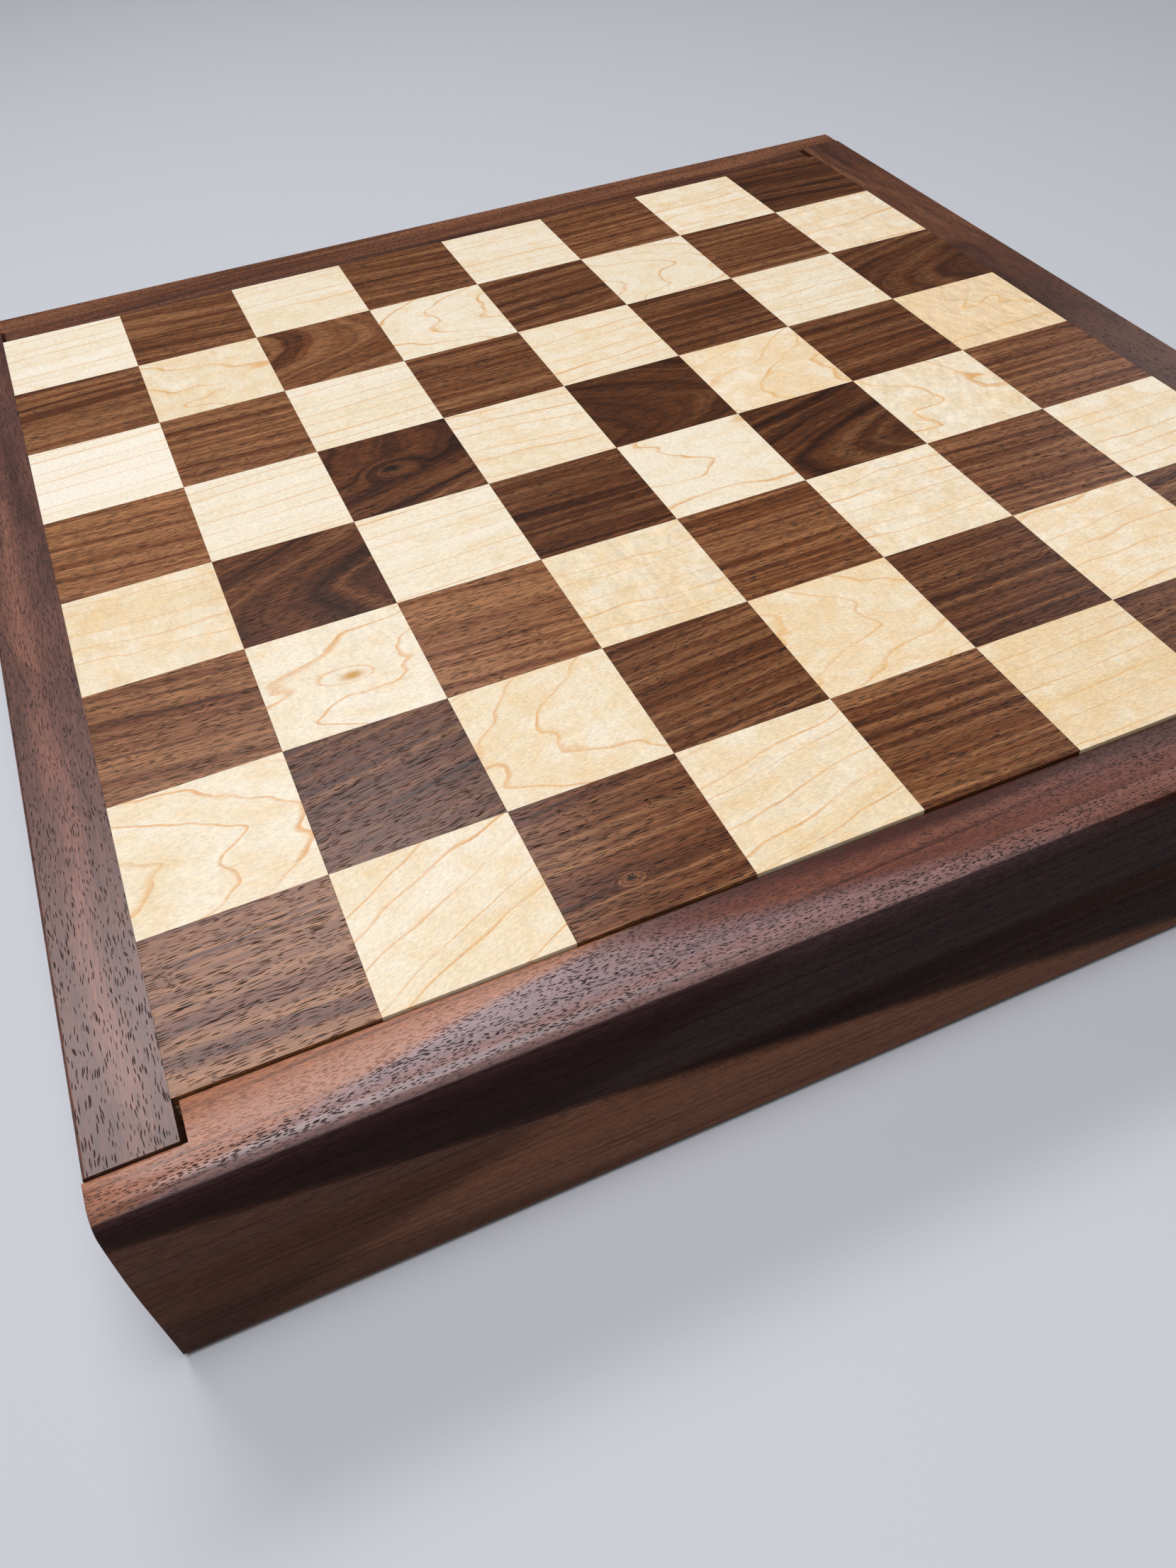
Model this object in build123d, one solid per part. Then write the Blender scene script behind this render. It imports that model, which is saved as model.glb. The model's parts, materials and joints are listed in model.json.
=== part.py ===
"""Chess box: a playing board of squares over a case with two drawers.

Millimetres, +Z up, origin at the bottom centre of the closed box.  The front drawer slides
out towards -Y and the back drawer towards +Y.  The squares lie between two side rails, and
each drawer's face closes one end of the case and forms one border of the board.
"""
from build123d import *

import os
from math import acos, cos, radians, sin

# ---- playing board ----
square = 44.45              # side of a square
squares_a_side = 8
square_thickness = 3.2
first_rank_trim = 1.8       # sawn off the near edge of the first rank
core_thickness = 6.35       # plywood under the squares
core_tongue = 6.0           # core let into each rail

# ---- case ----
board_height = 63.5         # playing surface above the bench
foot_thickness = 1.5
foot_side = 15.0            # square pads of felt
foot_from_end = 20.0        # foot's centre from the rail's end
rail_width = 19.05
rail_overhang = 10.1        # rail past the edge of the squares, at each end
rail_ease = 0.8             # rounding of the rails' outer edges
base_thickness = 4.8        # plywood base panel
base_recess = 3.5           # base panel above the underside of the rails
base_tongue = 6.0
divider_thickness = 12.0    # between the two drawers
divider_tongue = 3.0
glue_gap = 0.1              # round every tongue in its groove

# ---- runners ----
runner_height = 8.0
runner_dado = 5.0           # runner let into the rail
runner_reach = 5.0          # runner standing out of the rail
runner_setback = 10.0       # runner's outer end behind the edge of the squares
runner_lead = 1.5           # chamfer that leads the drawer's groove on
runner_clearance = 0.25     # above and below, in the drawer's groove
runner_slack = 0.4          # runner's edge to the bottom of the groove

# ---- drawer faces ----
lip_thickness = 12.5        # part of the face that laps over the rails' ends
lip_seam = 0.3              # lip to the rails' ends
lip_proud = 0.4             # lip past the rails' outer sides
block_side_gap = 1.3        # inner block of the face to each rail
board_gap = 0.4             # inner block to the edge of the squares
face_drop = 0.9             # top of the face below the playing surface
face_clearance = 2.0        # underside of the face above the bench
front_roundover = 6.35      # top outer edge of the front drawer's face
pillow_radius = 200.0       # long curve of that face below the roundover
pillow_lean = 2.1           # how far that curve leans in at its top
back_roundover = 1.5        # top outer edge of the back drawer's face
face_ease = 0.5             # end and bottom edges of both faces

# ---- drawer boxes ----
box_side_gap = 0.8          # box to each rail
box_floor_gap = 1.2         # box above the base panel
box_head_gap = 2.0          # box below the core
box_inner_gap = 1.0         # closed box to the divider
side_thickness = 12.0
end_thickness = 9.5         # front and back boards of the box
finger_height = 8.2         # wanted height of a finger in the corner joints
bottom_thickness = 3.2
bottom_tongue = 4.5         # bottom panel let into the box's walls
bottom_recess = 4.0         # bottom panel above the box's lower edge
lining_thickness = 1.0      # felt on the bottom panel
lining_margin = 0.5         # felt to the box's walls

# ---- screws and magnets ----
screw_head_radius = 3.4
screw_head_height = 2.3
screw_shank_radius = 1.5
screw_point = 3.0           # length of the tapered point
screw_bite = 9.0            # length in the second piece
screw_fit = 0.05            # all round the screw
face_screw_count = 3
divider_screw_count = 3
screw_row_inset = 30.0      # first and last screw from the end of a row
magnet_radius = 4.0
magnet_thickness = 3.0
magnet_fit = 0.05
magnet_from_side = 60.0     # magnet's centre from the side of the box

# ---- places that follow from the sizes ----
field_x = squares_a_side * square / 2
field_y = (squares_a_side * square - first_rank_trim) / 2
rail_x = field_x + rail_width
rail_y = field_y + rail_overhang
lip_x = rail_x + lip_proud
lip_y = rail_y + lip_seam
face_y = lip_y + lip_thickness
block_x = field_x - block_side_gap
block_y = field_y + board_gap
face_bottom = face_clearance
face_top = board_height - face_drop

core_top = board_height - square_thickness
core_bottom = core_top - core_thickness
base_bottom = foot_thickness + base_recess
base_top = base_bottom + base_thickness

box_x = field_x - box_side_gap
box_inner_y = divider_thickness / 2 + box_inner_gap
box_bottom = base_top + box_floor_gap
box_top = core_bottom - box_head_gap
box_middle = (box_bottom + box_top) / 2
inside_x = box_x - side_thickness
inside_outer_y = block_y - end_thickness
inside_inner_y = box_inner_y + end_thickness
panel_bottom = box_bottom + bottom_recess
panel_top = panel_bottom + bottom_thickness

runner_outer_y = field_y - runner_setback
magnet_x = box_x - magnet_from_side
finger_count = 2 * max(1, round((box_top - box_bottom) / finger_height / 2 - 0.5)) + 1


# ---- small helpers ----
near = 0.01                 # how closely an edge is found by its place


def block(x, y, z):
    """A box between the two limits given along each axis."""
    size = [max(limits) - min(limits) for limits in (x, y, z)]
    middle = [sum(limits) / 2 for limits in (x, y, z)]
    return Pos(*middle) * Box(*size)


def grown(x, y, z, gap):
    """The pocket for a box with these limits, larger by the gap on every side."""
    return block(*[(min(limits) - gap, max(limits) + gap) for limits in (x, y, z)])


def both(half):
    """Limits that lie evenly about zero."""
    return (-half, half)


def row(half, inset, count):
    """Evenly spaced places from end to end of a row centred on zero."""
    reach = half - inset
    return [reach * (2 * place / (count - 1) - 1) for place in range(count)]


def cut(piece, tools):
    """The piece with every tool taken away."""
    for tool in tools:
        piece -= tool
    return piece


def group(pieces):
    """Loose pieces of one kind as one shape."""
    return Compound([piece.solid() for piece in pieces])


def turned(shape):
    """The same shape at the other end of the box."""
    return Rot(0, 0, 180) * shape


# ---- fasteners ----
def screw(start, direction, through, fit=0.0):
    """A countersunk wood screw whose head is flush with the surface at start.

    It passes through the first piece and bites into the second.  With a fit it is the hole,
    which has a flat bottom.
    """
    head = screw_head_radius + fit
    shank = screw_shank_radius + fit
    tip = through + screw_bite + fit
    shoulder = tip if fit else tip - screw_point
    outline = Polyline((0, 0), (head, 0), (shank, screw_head_height), (shank, shoulder),
                       (0, tip), (0, 0))
    return Plane(origin=start, z_dir=direction) * revolve(Plane.XZ * make_face(outline), Axis.Z)


def disc(start, direction, radius, thickness):
    """A round disc from a face at start into the piece behind it."""
    return extrude(Plane(origin=start, z_dir=direction) * Circle(radius), thickness)


# ---- playing board ----
def rank_limits(rank):
    """Near and far edge of a rank; the first one has its near edge sawn off."""
    far = field_y - (squares_a_side - 1 - rank) * square
    return (max(far - square, -field_y), far)


def file_squares(file, colour):
    """The squares of one colour in a file: 0 is walnut and 1 is maple."""
    left = -field_x + file * square
    ranks = [rank for rank in range(squares_a_side) if (file + rank) % 2 == colour]
    return group([block((left, left + square), rank_limits(rank), (core_top, board_height))
                  for rank in ranks])


def core_limits():
    """The plywood that carries the squares, with its tongues in the rails."""
    return both(field_x + core_tongue), both(field_y), (core_bottom, core_top)


def base_limits():
    """The plywood that closes the case below the drawers."""
    return both(field_x + base_tongue), both(field_y), (base_bottom, base_top)


def divider_limits():
    """The wall between the drawers, from the base panel up to the core."""
    return both(field_x + divider_tongue), both(divider_thickness / 2), (base_top, core_bottom)


# ---- case ----
def runner_limits(side, end):
    """A runner on the left (-1) or right (1) rail, at the front (-1) or back (1)."""
    x = (side * (field_x + runner_dado), side * (field_x - runner_reach))
    y = (end * box_inner_y, end * runner_outer_y)
    return x, y, (box_middle - runner_height / 2, box_middle + runner_height / 2)


def runner(side, end):
    """A hardwood strip glued into the rail, chamfered where the drawer's groove comes on to it."""
    strip = block(*runner_limits(side, end))
    tips = strip.faces().sort_by(Axis.Y)[0 if end < 0 else -1].edges().filter_by(Axis.X)
    return chamfer(tips, runner_lead)


def rail(side):
    """A side wall of the case, which is also a border of the board."""
    bar = block((side * field_x, side * rail_x), both(rail_y), (foot_thickness, board_height))
    outer = bar.edges().filter_by(Axis.Y).sort_by(Axis.X)
    bar = fillet(outer[-2:] if side > 0 else outer[:2], rail_ease)
    let_in = [core_limits(), base_limits(), divider_limits()]
    let_in += [runner_limits(side, end) for end in (-1, 1)]
    return cut(bar, [grown(*limits, glue_gap) for limits in let_in])


def divider_screws(fit=0.0):
    """Screws up through the base panel into the divider, or their holes."""
    return [screw((x, 0, base_bottom), (0, 0, 1), base_thickness, fit)
            for x in row(field_x, screw_row_inset, divider_screw_count)]


def divider_magnets(fit=0.0):
    """Discs flush with both faces of the divider, or their pockets."""
    return [disc((x, end * divider_thickness / 2, box_middle), (0, -end, 0),
                 magnet_radius + fit, magnet_thickness + fit)
            for end in (-1, 1) for x in both(magnet_x)]


def divider():
    """The wall between the drawers, screwed from below, with magnets in both faces."""
    return cut(block(*divider_limits()), divider_screws(screw_fit) + divider_magnets(magnet_fit))


def foot(side, end):
    """A felt pad under the middle of a rail."""
    x, y = side * (field_x + rail_width / 2), end * (rail_y - foot_from_end)
    half = foot_side / 2
    return block((x - half, x + half), (y - half, y + half), (0, foot_thickness))


# ---- drawers, drawn at the front ----
def front_outline():
    """Section of the lip of the front face: pillowed below, rounded over at the top."""
    lean_angle = acos(1 - pillow_lean / pillow_radius)
    turn = radians(90) - lean_angle
    crown_y = -face_y + pillow_lean + front_roundover * sin(turn)
    crown_z = face_top - front_roundover
    shoulder = (-face_y + pillow_lean, crown_z + front_roundover * cos(turn))
    belly = (-face_y, shoulder[1] - pillow_radius * sin(lean_angle))
    half_belly = (-face_y + pillow_radius * (1 - cos(lean_angle / 2)),
                  belly[1] + pillow_radius * sin(lean_angle / 2))
    half_round = (crown_y - front_roundover * sin(turn / 2), crown_z + front_roundover * cos(turn / 2))
    return Curve() + [
        Polyline((crown_y, face_top), (-lip_y, face_top), (-lip_y, face_bottom),
                 (-face_y, face_bottom), belly),
        ThreePointArc(belly, half_belly, shoulder),
        ThreePointArc(shoulder, half_round, (crown_y, face_top)),
    ]


def back_outline():
    """Section of the lip of the back face: flat, with its top edge just rounded."""
    start = (-face_y, face_top - back_roundover)
    end = (-face_y + back_roundover, face_top)
    return Curve() + [
        Polyline(end, (-lip_y, face_top), (-lip_y, face_bottom), (-face_y, face_bottom), start),
        RadiusArc(start, end, back_roundover),
    ]


def lip(outline):
    """The full width of a face, with its end and bottom edges eased."""
    bar = extrude(Plane.YZ * make_face(outline), lip_x, both=True)
    on_end = [edge for edge in bar.edges() if abs(edge.center().X) > lip_x - near]
    outer = [edge for edge in on_end if edge.center().Y < -lip_y - near]
    underside = bar.edges().filter_by(Axis.X).sort_by(Axis.Z)[:2].sort_by(Axis.Y)[0]
    return chamfer(outer + [underside], face_ease)


def face_screws(fit=0.0):
    """Screws from inside the box through its front into the face, or their holes."""
    return [screw((x, -inside_outer_y, box_middle), (0, -1, 0), end_thickness, fit)
            for x in row(inside_x, screw_row_inset, face_screw_count)]


def face(outline):
    """A drawer's face: one board, rabbeted at both ends to lap over the rails."""
    inner_block = block(both(block_x), (-lip_y, -block_y), (face_bottom, face_top))
    return cut(lip(outline) + inner_block, face_screws(screw_fit))


def fingers(first):
    """Notches through both ends of a box board, at every second finger from the first."""
    height = (box_top - box_bottom) / finger_count
    levels = [box_bottom + finger * height for finger in range(finger_count + 1)]
    ends = ((-block_y, -inside_outer_y), (-inside_inner_y, -box_inner_y))
    return [block((side * inside_x, side * box_x), end, levels[finger:finger + 2])
            for side in (-1, 1) for end in ends for finger in range(first, finger_count, 2)]


def bottom_limits():
    """The plywood bottom of a box, let into its four walls."""
    y = (-inside_outer_y - bottom_tongue, -inside_inner_y + bottom_tongue)
    return both(inside_x + bottom_tongue), y, (panel_bottom, panel_top)


def runner_grooves():
    """The grooves of both sides, open at the box's back and clear of the runners."""
    half_height = runner_height / 2 + runner_clearance
    depth = runner_reach - box_side_gap + runner_slack
    return [block((side * (box_x - depth), side * (box_x + runner_slack)),
                  (-runner_outer_y - box_inner_gap, -box_inner_y + box_inner_gap),
                  (box_middle - half_height, box_middle + half_height))
            for side in (-1, 1)]


def box_board(x, y, first_finger):
    """A wall of the box, with its fingers, bottom groove and runner grooves."""
    board = block(x, y, (box_bottom, box_top))
    return cut(board, fingers(first_finger) + [grown(*bottom_limits(), glue_gap)] + runner_grooves())


def box_side(side):
    """The left (-1) or right (1) wall of a box."""
    return box_board((side * inside_x, side * box_x), (-block_y, -box_inner_y), 1)


def box_front():
    """The wall that carries the face."""
    return cut(box_board(both(box_x), (-block_y, -inside_outer_y), 0), face_screws(screw_fit))


def box_magnets(fit=0.0):
    """Discs flush with the outside of the box's back, facing the divider's, or their pockets."""
    return [disc((x, -box_inner_y, box_middle), (0, -1, 0), magnet_radius + fit, magnet_thickness + fit)
            for x in both(magnet_x)]


def box_back():
    """The wall next to the divider."""
    return cut(box_board(both(box_x), (-inside_inner_y, -box_inner_y), 0), box_magnets(magnet_fit))


def lining():
    """A sheet of felt laid on the bottom panel."""
    return block(both(inside_x - lining_margin),
                 (-inside_outer_y + lining_margin, -inside_inner_y - lining_margin),
                 (panel_top, panel_top + lining_thickness))


def drawer_pieces(outline):
    """Every piece of a drawer by name, drawn at the front."""
    return {
        "face": face(outline),
        "box_front": box_front(),
        "box_back": box_back(),
        "left_side": box_side(-1),
        "right_side": box_side(1),
        "bottom": block(*bottom_limits()),
        "lining": lining(),
        "face_screws": group(face_screws()),
        "magnets": group(box_magnets()),
    }


# ---- the whole box ----
def board_pieces():
    """The squares and their core by name; walnut lies at the near left corner."""
    pieces = {"board_core": block(*core_limits())}
    for file in range(squares_a_side):
        letter = chr(ord("a") + file)
        pieces[f"file_{letter}_walnut"] = file_squares(file, 0)
        pieces[f"file_{letter}_maple"] = file_squares(file, 1)
    return pieces


def case_pieces():
    """Every other fixed piece by name."""
    corners = [(f"{end_name}_{side_name}", side, end)
               for end_name, end in (("front", -1), ("back", 1))
               for side_name, side in (("left", -1), ("right", 1))]
    pieces = {
        "left_rail": rail(-1),
        "right_rail": rail(1),
        "base_panel": cut(block(*base_limits()), divider_screws(screw_fit)),
        "centre_divider": divider(),
        "divider_screws": group(divider_screws()),
        "divider_magnets": group(divider_magnets()),
    }
    for name, side, end in corners:
        pieces[f"{name}_runner"] = runner(side, end)
        pieces[f"{name}_foot"] = foot(side, end)
    return pieces


def all_pieces():
    """The whole box; the back drawer is the front one turned round, with its own face."""
    pieces = {**board_pieces(), **case_pieces()}
    for name, piece in drawer_pieces(front_outline()).items():
        pieces[f"front_drawer_{name}"] = piece
    swapped = {"left_side": "right_side", "right_side": "left_side"}
    for name, piece in drawer_pieces(back_outline()).items():
        pieces[f"back_drawer_{swapped.get(name, name)}"] = turned(piece)
    return pieces


os.makedirs("parts", exist_ok=True)
for name, piece in all_pieces().items():
    export_step(piece, f"parts/{name}.step")
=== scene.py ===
"""Looks of the chess box with drawers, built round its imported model.

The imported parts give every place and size.  The squares, drawer faces, felt and screws are made
here and stand for their parts; the rails, panels and drawer boxes keep theirs and get a finish.
Patterns are drawn in millimetres on Object coordinates, so they stay with the wood.
"""
import sys

import json
import logging
import math
import random
from dataclasses import dataclass, field, replace
from enum import Enum
from typing import Any, NamedTuple

import bmesh
import bpy
from mathutils import Matrix, Vector

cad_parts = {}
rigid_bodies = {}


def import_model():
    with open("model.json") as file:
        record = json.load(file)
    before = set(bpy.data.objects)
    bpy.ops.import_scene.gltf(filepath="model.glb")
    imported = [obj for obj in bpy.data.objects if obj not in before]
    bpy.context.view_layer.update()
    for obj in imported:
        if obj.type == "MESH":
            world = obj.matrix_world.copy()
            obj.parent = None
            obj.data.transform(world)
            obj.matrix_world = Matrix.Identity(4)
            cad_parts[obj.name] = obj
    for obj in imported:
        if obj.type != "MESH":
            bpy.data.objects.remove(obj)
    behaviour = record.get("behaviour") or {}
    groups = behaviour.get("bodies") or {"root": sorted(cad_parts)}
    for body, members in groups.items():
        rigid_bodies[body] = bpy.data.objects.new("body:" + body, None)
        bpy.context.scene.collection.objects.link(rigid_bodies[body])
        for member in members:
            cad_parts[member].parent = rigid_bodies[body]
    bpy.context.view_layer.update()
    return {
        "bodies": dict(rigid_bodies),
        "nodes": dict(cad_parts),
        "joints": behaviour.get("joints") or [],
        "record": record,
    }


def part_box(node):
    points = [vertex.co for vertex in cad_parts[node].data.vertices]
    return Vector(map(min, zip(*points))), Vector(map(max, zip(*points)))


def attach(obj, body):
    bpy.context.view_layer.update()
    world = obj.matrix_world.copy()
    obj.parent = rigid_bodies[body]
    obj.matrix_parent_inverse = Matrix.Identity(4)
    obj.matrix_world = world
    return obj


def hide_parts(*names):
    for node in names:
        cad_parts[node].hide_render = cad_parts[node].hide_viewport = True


MM = 0.001
Socket = bpy.types.NodeSocket
Material = bpy.types.Material
Object = bpy.types.Object
Tree = bpy.types.NodeTree
Pair = tuple[float, float]
Triple = tuple[float, float, float]

MATH = "ShaderNodeMath"
VECTOR = "ShaderNodeVectorMath"
MIX = "ShaderNodeMix"
MIX_FACTOR, MIX_A, MIX_B, MIX_RESULT = 0, 6, 7, 2
SMOOTH = "SMOOTHSTEP"
MIDDLE = (0.5, 0.5, 0.5)  # the mean of a noise's three colours
NO_KNOT = (1e4, 1e4, 1.0)  # a knot too far away to show
WIDE_SPREAD, SPREAD = (0.25, 0.75), (0.3, 0.7)  # between these lies nearly all of a noise
WOOD_IOR = 1.5
FULL_TURN = 6.28
FACETED = math.radians(50)  # a felt edge at more than this angle is softened

log = logging.getLogger("chess_box")


def linear(text: str) -> tuple[float, float, float, float]:
    """Turns an sRGB colour, six hex digits, into the linear one that shaders work in."""
    digits = text.lstrip("#")
    shares = [int(digits[i:i + 2], 16) / 255 for i in (0, 2, 4)]
    red, green, blue = [s / 12.92 if s <= 0.04045 else ((s + 0.055) / 1.055) ** 2.4 for s in shares]
    return red, green, blue, 1.0


def add(tree: Tree, kind: str, settings: dict[str, Any] | None = None,
        inputs: dict[Any, Any] | None = None, output: Any = 0) -> Socket | None:
    """Adds one node with its settings, and sets or links its inputs.

    Args:
        tree: the tree that the node joins.
        kind: the node's type name.
        settings: the node's own settings by name.
        inputs: by socket name or number, a value or another node's output.
        output: name or number of the output to hand back.

    Returns:
        That output, or None for a node that has none.
    """
    node = tree.nodes.new(kind)
    for name, value in (settings or {}).items():
        setattr(node, name, value)
    for key, value in (inputs or {}).items():
        if isinstance(value, Socket):
            tree.links.new(value, node.inputs[key])
        else:
            node.inputs[key].default_value = value
    return node.outputs[output] if node.outputs else None


@dataclass
class Nodes:
    """A tree, with a short method for each kind of node that the patterns use again and again."""

    tree: Tree

    def math(self, operation: str, *terms: Any) -> Socket:
        """Adds a sum of numbers."""
        return add(self.tree, MATH, {"operation": operation}, dict(enumerate(terms)))

    def vector(self, operation: str, *terms: Any) -> Socket:
        """Adds a sum of vectors, whose dot product or length comes out as a number."""
        number = operation in ("DOT_PRODUCT", "LENGTH")
        return add(self.tree, VECTOR, {"operation": operation}, dict(enumerate(terms)), int(number))

    def scaled(self, vector: Any, factor: Any) -> Socket:
        """Adds a vector, or a colour, times a number."""
        return add(self.tree, VECTOR, {"operation": "SCALE"}, {0: vector, "Scale": factor})

    def stretched(self, place: Socket, length: float, width: float) -> Socket:
        """Adds a place counted in lengths along the grain and in widths across and into it."""
        return self.vector("MULTIPLY", place, (1 / length, 1 / width, 1 / width))

    def join(self, *parts: Any) -> Socket:
        """Adds a vector made of its parts."""
        return add(self.tree, "ShaderNodeCombineXYZ", None, dict(enumerate(parts)))

    def parts(self, vector: Socket) -> list[Socket]:
        """Adds the three parts of a vector."""
        return list(add(self.tree, "ShaderNodeSeparateXYZ", None, {0: vector}).node.outputs)

    def noise(self, place: Socket, detail: float, coloured: bool = False, **more: Any) -> Socket:
        """Adds soft random hills from 0 to 1.

        Args:
            place: the place, in hills.
            detail: how many finer sets of hills lie on the first.
            coloured: true for three sets at once, as a vector.
            more: the node's further inputs.

        Returns:
            The hills' height.
        """
        inputs = {"Vector": place, "Scale": 1.0, "Detail": detail}
        inputs.update({name.title(): value for name, value in more.items()})
        return add(self.tree, "ShaderNodeTexNoise", None, inputs, int(coloured))

    def remap(self, value: Any, start: Any, stop: Any, low: Any = 0.0, high: Any = 1.0,
              curve: str = "LINEAR", clamp: bool = True) -> Socket:
        """Adds a change of range.

        Args:
            value: the number that is changed.
            start: the value that becomes the low one.
            stop: the value that becomes the high one.
            low: the low one.
            high: the high one.
            curve: how it runs between them.
            clamp: whether it stays between them.

        Returns:
            The number in its new range.
        """
        return add(self.tree, "ShaderNodeMapRange", {"interpolation_type": curve, "clamp": clamp},
                   {"Value": value, "From Min": start, "From Max": stop, "To Min": low, "To Max": high})

    def mix(self, share: Any, first: Any, second: Any) -> Socket:
        """Adds a colour between two others, each a socket or hex digits."""
        a, b = [linear(colour) if isinstance(colour, str) else colour for colour in (first, second)]
        return add(self.tree, MIX, {"data_type": "RGBA", "clamp_factor": True},
                   {MIX_FACTOR: share, MIX_A: a, MIX_B: b}, MIX_RESULT)

    def place(self) -> Socket:
        """Adds the point's place on its piece, in mm."""
        return self.scaled(add(self.tree, "ShaderNodeTexCoord", output="Object"), 1 / MM)

    def facing(self) -> Socket:
        """Adds the way that the surface faces."""
        return add(self.tree, "ShaderNodeTexCoord", output="Normal")

    def surface(self, inputs: dict[str, Any], height: Socket | None = None, strength: float = 0.0,
                depth: float = 0.0) -> None:
        """Adds the shader, and the relief if it has one.

        Args:
            inputs: the shader's inputs by name.
            height: the relief's height, from 0 to 1.
            strength: how far the relief shows.
            depth: the relief's depth, in mm.
        """
        if height:
            inputs["Normal"] = add(self.tree, "ShaderNodeBump", None, {
                "Height": height, "Strength": strength, "Distance": depth * MM})
        shader = add(self.tree, "ShaderNodeBsdfPrincipled", None, inputs)
        add(self.tree, "ShaderNodeOutputMaterial", None, {"Surface": shader})


def new_material(name: str) -> tuple[Material, Nodes]:
    """Makes a material of that name, with an empty tree."""
    material = bpy.data.materials.new(name)
    material.use_nodes = True
    material.node_tree.nodes.clear()
    return material, Nodes(material.node_tree)


def new_group(name: str, inputs: dict[str, str], result: str) -> tuple[Nodes, dict[str, Socket]]:
    """Starts a geometry tree.

    Args:
        name: what the tree is called.
        inputs: the kind of each input by its name.
        result: the name of its output.

    Returns:
        The tree, and its inputs by name.
    """
    tree = bpy.data.node_groups.new(name, "GeometryNodeTree")
    for label, kind in inputs.items():
        tree.interface.new_socket(label, in_out="INPUT", socket_type=f"NodeSocket{kind}")
    tree.interface.new_socket(result, in_out="OUTPUT", socket_type="NodeSocketGeometry")
    return Nodes(tree), {socket.name: socket for socket in tree.nodes.new("NodeGroupInput").outputs}


def end_group(nodes: Nodes, real: Socket, material: Socket) -> None:
    """Ends a geometry tree whose instances are real: they get their material."""
    done = add(nodes.tree, "GeometryNodeSetMaterial", None, {0: real, "Material": material})
    add(nodes.tree, "NodeGroupOutput", None, {0: done})


def new_object(name: str, shape: bmesh.types.BMesh) -> Object:
    """Links a shape into the scene as an object at the origin."""
    mesh = bpy.data.meshes.new(name)
    shape.to_mesh(mesh)
    shape.free()
    piece = bpy.data.objects.new(name, mesh)
    bpy.context.scene.collection.objects.link(piece)
    return piece


def run_group(piece: Object, tree: Tree, values: dict[str, Any]) -> None:
    """Puts a geometry tree on a piece.

    Args:
        piece: the piece.
        tree: the tree.
        values: the values of its inputs by name.
    """
    modifier = piece.modifiers.new(tree.name, "NODES")
    modifier.node_group = tree
    for item in tree.interface.items_tree:
        if item.in_out == "INPUT" and item.name in values:
            modifier[item.identifier] = values[item.name]


def soften(piece: Object, width: float, segments: int, **settings: Any) -> None:
    """Bevels a piece's edges.

    Args:
        piece: the piece.
        width: the bevel's width in mm.
        segments: how many strips it has.
        settings: the modifier's further settings.
    """
    bevel = piece.modifiers.new("soft edges", "BEVEL")
    bevel.width, bevel.segments = width * MM, segments
    for name, value in settings.items():
        setattr(bevel, name, value)


def plain(piece: Object) -> Object:
    """Turns an object and its modifiers into a plain mesh of the same name."""
    graph = bpy.context.evaluated_depsgraph_get()
    mesh = bpy.data.meshes.new_from_object(piece.evaluated_get(graph), depsgraph=graph)
    old = piece.data
    piece.modifiers.clear()
    piece.data = mesh
    mesh.name = piece.name
    bpy.data.meshes.remove(old)
    return piece


def box_mm(part: str) -> tuple[Vector, Vector]:
    """Gives the lowest and highest corners of a part, in mm."""
    low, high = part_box(part)
    return Vector(low) / MM, Vector(high) / MM


def register(piece: Object, body: str, slot: str, *parts: str) -> None:
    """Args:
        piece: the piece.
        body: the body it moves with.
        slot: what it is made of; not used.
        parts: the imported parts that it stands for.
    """
    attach(piece, body)
    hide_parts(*parts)
    log.info("%s: %d faces", piece.name, len(piece.data.polygons))


# ---- timber ----
class Grain(Enum):
    """Which way a board's grain runs, with the directions across its face and into it."""

    ALONG_X = ((1, 0, 0), (0, -1, 0), (0, 0, -1))
    ALONG_Y = ((0, 1, 0), (-1, 0, 0), (0, 0, -1))


class Growth(NamedTuple):
    """Sockets that say where a point of a board lay in its log."""

    place: Socket  # along, across and down, in mm from the cut's origin
    seeded: Socket  # the same, moved to a stretch of pattern of its own
    pith: Socket  # across and down to the tree's centre, and its taper
    shade: Socket  # lightness, gold and curl
    knot: Socket  # along and across to a knot, and its radius


@dataclass(frozen=True)
class Band:
    """A stripe of colour that runs along a board between two slanting lines.

    Places are in mm across the board's face and on round its edge, at the board's two ends.  Some
    stripes are the wood's own colour, others painted sheen, painted highlight and painted shade.
    """

    colour: str
    start: Pair
    stop: Pair
    blur: float = 2.0
    strength: float = 1.0
    pores: float = 1.0  # how far the pores show inside the stripe
    straight: bool = False  # follows the board's edge, not its wandering grain


@dataclass(frozen=True)
class Cut:
    """How one board was sawn from its log, in mm."""

    grain: Grain
    origin: Triple
    pith: Pair = (10.0, 70.0)
    taper: float = 0.02
    seed: Triple = (0.0, 0.0, 0.0)
    reach: Pair = (-200.0, 200.0)  # the board's two ends
    bands: tuple[Band, ...] = ()

    def growth(self, nodes: Nodes) -> Growth:
        """Adds what places a point in the log."""
        offset = nodes.vector("SUBTRACT", nodes.place(), self.origin)
        place = nodes.join(*[nodes.vector("DOT_PRODUCT", offset, axis) for axis in self.grain.value])
        return Growth(place, nodes.vector("ADD", place, self.seed),
                      nodes.join(*self.pith, self.taper), nodes.join(), nodes.join(*NO_KNOT))


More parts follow.
